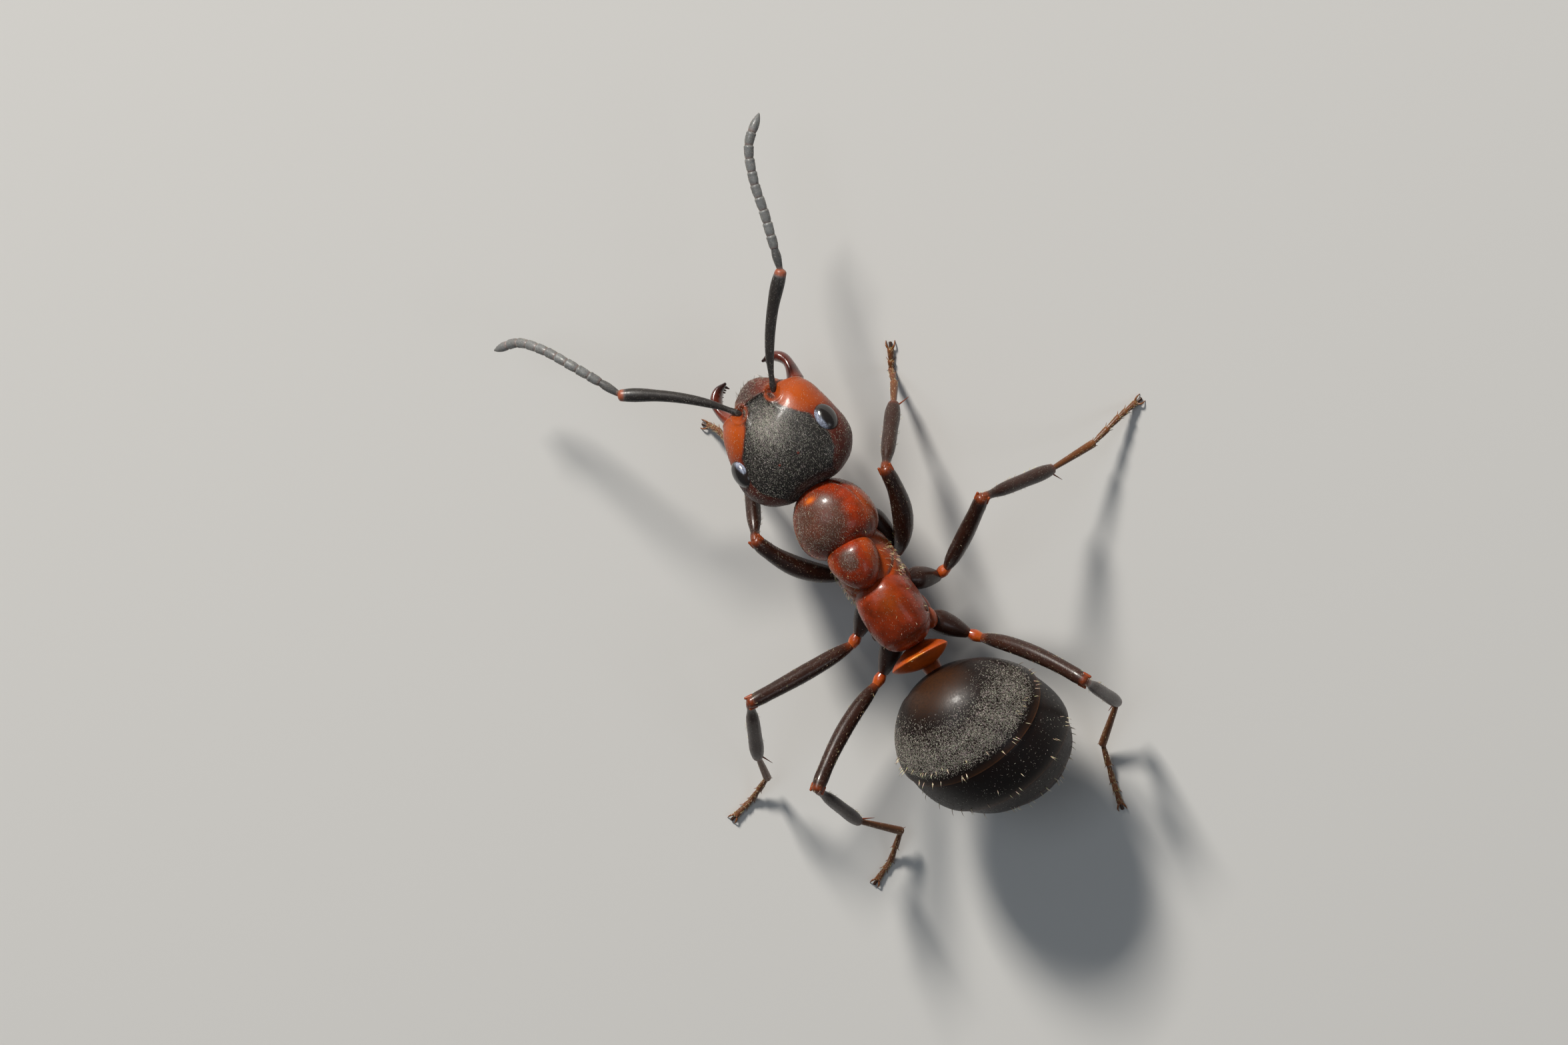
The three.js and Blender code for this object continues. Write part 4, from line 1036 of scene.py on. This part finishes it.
coat = Coat("coat_trunk", "trunk_cuticle", (2, 2))
top = lambda s: step(np.sin(s.a), -0.4, 0.3)
coat.add(pronotum, (0, 0), 4600, 0.028, 0.0048, 14, weight=lambda s: top(s) * (0.25 + s.dark))
coat.add(mesonotum, (1, 0), 1300, 0.026, 0.0045, 14, weight=lambda s: top(s) * (0.3 + s.dark))
coat.add(mesopleura, (0, 1), 900, 0.03, 0.004, 16)
coat.add(propodeum, (1, 1), 900, 0.028, 0.004, 16, weight=top)
coat.finish(DOWN)

coat = Coat("coat_gaster", "gaster_cuticle", (5, 1))
for i, (skin, count) in enumerate(zip(gaster, (18500, 420, 260, 130, 80))):
    last = GASTER_CUTS[i + 1]
    front = 0.02 if i == 0 else GASTER_CUTS[i]
    fade = 0.17 if i == 0 else 0.04
    patchy = lambda s: 0.78 + 0.22 * np.sin(9 * s.a + 31 * s.f) * np.sin(5 * s.a - 47 * s.f)
    down = lambda s, last=last, front=front, fade=fade: (
        step(last - 0.06 - s.f, -0.02, 0.06) * step(s.f, front, front + fade) * step(np.sin(s.a), -0.5, 0.5))
    # Hairs along the gaster's top are brightened as a painted sheen.
    coat.add(skin, (i, 0), count, 0.034, 0.0078, 14, weight=lambda s: down(s) * patchy(s), scatter=0.8,
             painted_sheen=0.6 * bump(np.sin(skin.a) - 0.85, 0.6))
coat.finish(DOWN)

setae = Coat("bristles", "gaster_cuticle", (5, 2))
for i, skin in enumerate(gaster):
    last = GASTER_CUTS[i + 1]
    row = lambda s, last=last: bump(s.f - (last - 0.035), 0.008) * step(np.sin(s.a), -0.8, 0.0)
    setae.add(skin, (i, 0), (30, 16, 20, 26, 30)[i], 0.14, 0.016, 52, weight=row, scatter=0.25, curl=0.4)
    if i < 2:
        back = lambda s, last=last: bump(s.f - (last - 0.1), 0.012) * step(np.sin(s.a), -0.4, 0.3)
        setae.add(skin, (i, 0), (20, 9)[i], 0.13, 0.016, 52, weight=back, scatter=0.3, curl=0.4)
fringe = lambda s: bump(np.sin(s.a) - 0.35, 0.3) * step(s.rings[..., 1], -0.5, -0.3)
setae.add(mesopleura, (0, 1), 200, 0.11, 0.009, 48, weight=fringe, scatter=0.6)
setae.add(pronotum, (1, 1), 26, 0.08, 0.007, 60, weight=lambda s: step(np.sin(s.a), 0, 0.4), scatter=0.7)
setae.add(propodeum, (2, 1), 16, 0.07, 0.007, 55, weight=lambda s: step(np.sin(s.a), 0, 0.4), scatter=0.7)
setae.add(petiole, (3, 1), 10, 0.05, 0.006, 40, weight=lambda s: step(s.rings[..., 2], 2.45, 2.6), scatter=0.7)
setae.add(mesonotum, (4, 1), 9, 0.07, 0.007, 60, weight=lambda s: step(np.sin(s.a), 0, 0.4), scatter=0.7)
setae.finish(GOLD)

coat = Coat("coat_antennae", "antenna", (2, 12))
for column, skins in enumerate(antennae.values()):
    for row, skin in enumerate(skins):
        coat.add(skin, (column, row), 1300 if row == 0 else 480, 0.022, 0.0035, 12)
coat.finish(DOWN)

coat = Coat("coat_legs", "leg_cuticle", (6, 4))
stiff = Coat("leg_bristles", "leg_cuticle", (6, 4))
for column, parts in enumerate(legs.values()):
    for row, part in enumerate(("coxa", "femur", "tibia")):
        skin = parts[part]
        coat.add(skin, (column, row), (150, 900, 1000)[row], 0.028, 0.0038, 9)
    stiff.add(parts["femur"], (column, 1), 90, 0.05, 0.006, 32, scatter=0.3)
    stiff.add(parts["tibia"], (column, 2), 60, 0.085, 0.008, 36, weight=lambda s: step(-np.sin(s.a), -0.2, 0.5), scatter=0.25)
    for k, skin in enumerate(parts["tarsus"]):
        if skin.rings.shape[1] == 14:
            stiff.add(skin, (column, 3), 45, 0.04, 0.0055, 28, weight=lambda s: step(s.normals()[..., 2], -0.5, 0.1), scatter=0.3)
coat.finish(DOWN)
stiff.finish(GOLD)

# ---------------------------------------------------------------- stage

FLOOR_HALF = 0.3
floor_mesh = bpy.data.meshes.new("floor")
corners = [(-1, -1, 0), (1, -1, 0), (1, 1, 0), (-1, 1, 0)]
floor_mesh.from_pydata([tuple(FLOOR_HALF * c for c in corner) for corner in corners], [], [(0, 1, 2, 3)])
floor = bpy.data.objects.new("floor", floor_mesh)
bpy.context.scene.collection.objects.link(floor)
paper = bpy.data.materials.new("paper")
paper.use_nodes = True
shader = paper.node_tree.nodes["Principled BSDF"]
shader.inputs["Base Color"].default_value = (0.6, 0.59, 0.57, 1)
shader.inputs["Roughness"].default_value = 0.8
floor_mesh.materials.append(paper)

a, tilt, towards = np.radians([CAMERA_ROLL, CAMERA_TILT, CAMERA_TILT_TOWARDS])
image_right = np.array([-np.cos(a), np.sin(a), 0])
image_up = np.array([-np.sin(a), -np.cos(a), 0])
sky = np.array([0, 0, 1.0])
back = np.sin(tilt) * (np.sin(towards) * image_right + np.cos(towards) * image_up) + np.cos(tilt) * sky
up = unit(image_up - (image_up @ back) * back)
right = np.cross(up, back)
focal = PIXELS_PER_MM * CAMERA_DISTANCE
ray = right * (BODY_AT_PIXEL[0] - IMAGE[0] / 2) / focal + up * (IMAGE[1] / 2 - BODY_AT_PIXEL[1]) / focal - back
eye_point = np.array([0, 0, CAMERA_FOCUS]) + CAMERA_DISTANCE * back
axis_point = eye_point + ray * (CAMERA_FOCUS - eye_point[2]) / ray[2]
eye_point = eye_point - axis_point * [1, 1, 0] + [BODY_ASIDE, 0, 0]

camera_data = bpy.data.cameras.new("camera")
camera_data.sensor_width = SENSOR
camera_data.lens = focal * SENSOR / IMAGE[0]
camera_data.clip_start = 0.001
camera = bpy.data.objects.new("camera", camera_data)
bpy.context.scene.collection.objects.link(camera)
matrix = Matrix.Identity(4)
for column, axis in enumerate((right, up, back, place(eye_point))):
    for row in range(3):
        matrix[row][column] = axis[row]
camera.matrix_world = matrix
bpy.context.scene.camera = camera

world = bpy.data.worlds.new("studio")
world.use_nodes = True
world.node_tree.nodes["Background"].inputs["Color"].default_value = (0.85, 0.92, 1.0, 1)
world.node_tree.nodes["Background"].inputs["Strength"].default_value = 0.13
bpy.context.scene.world = world
bpy.context.scene.view_settings.view_transform = "Standard"


def lamp(name, direction, distance, size, power, colour):
    data = bpy.data.lights.new(name, "AREA")
    data.size, data.energy, data.color = size, power, colour
    lamp_object = bpy.data.objects.new(name, data)
    bpy.context.scene.collection.objects.link(lamp_object)
    direction = unit(direction)
    z_axis = direction
    x_axis = unit(np.cross([0, 1, 0.01], z_axis))
    y_axis = np.cross(z_axis, x_axis)
    m = Matrix.Identity(4)
    for c, axis in enumerate((x_axis, y_axis, z_axis, direction * distance)):
        for r in range(3):
            m[r][c] = axis[r]
    lamp_object.matrix_world = m


lamp("key", -0.69 * right + 1.13 * up + 1.1 * back, 0.25, 0.04, 0.85, (1.0, 0.96, 0.9))
lamp("fill", 1.0 * right - 0.5 * up + 1.2 * back, 0.3, 0.1, 0.05, (0.85, 0.92, 1.0))
lamp("sky", -0.5 * right + 0.1 * up + 1.2 * back, 0.3, 0.12, 0.09, (0.8, 0.9, 1.0))
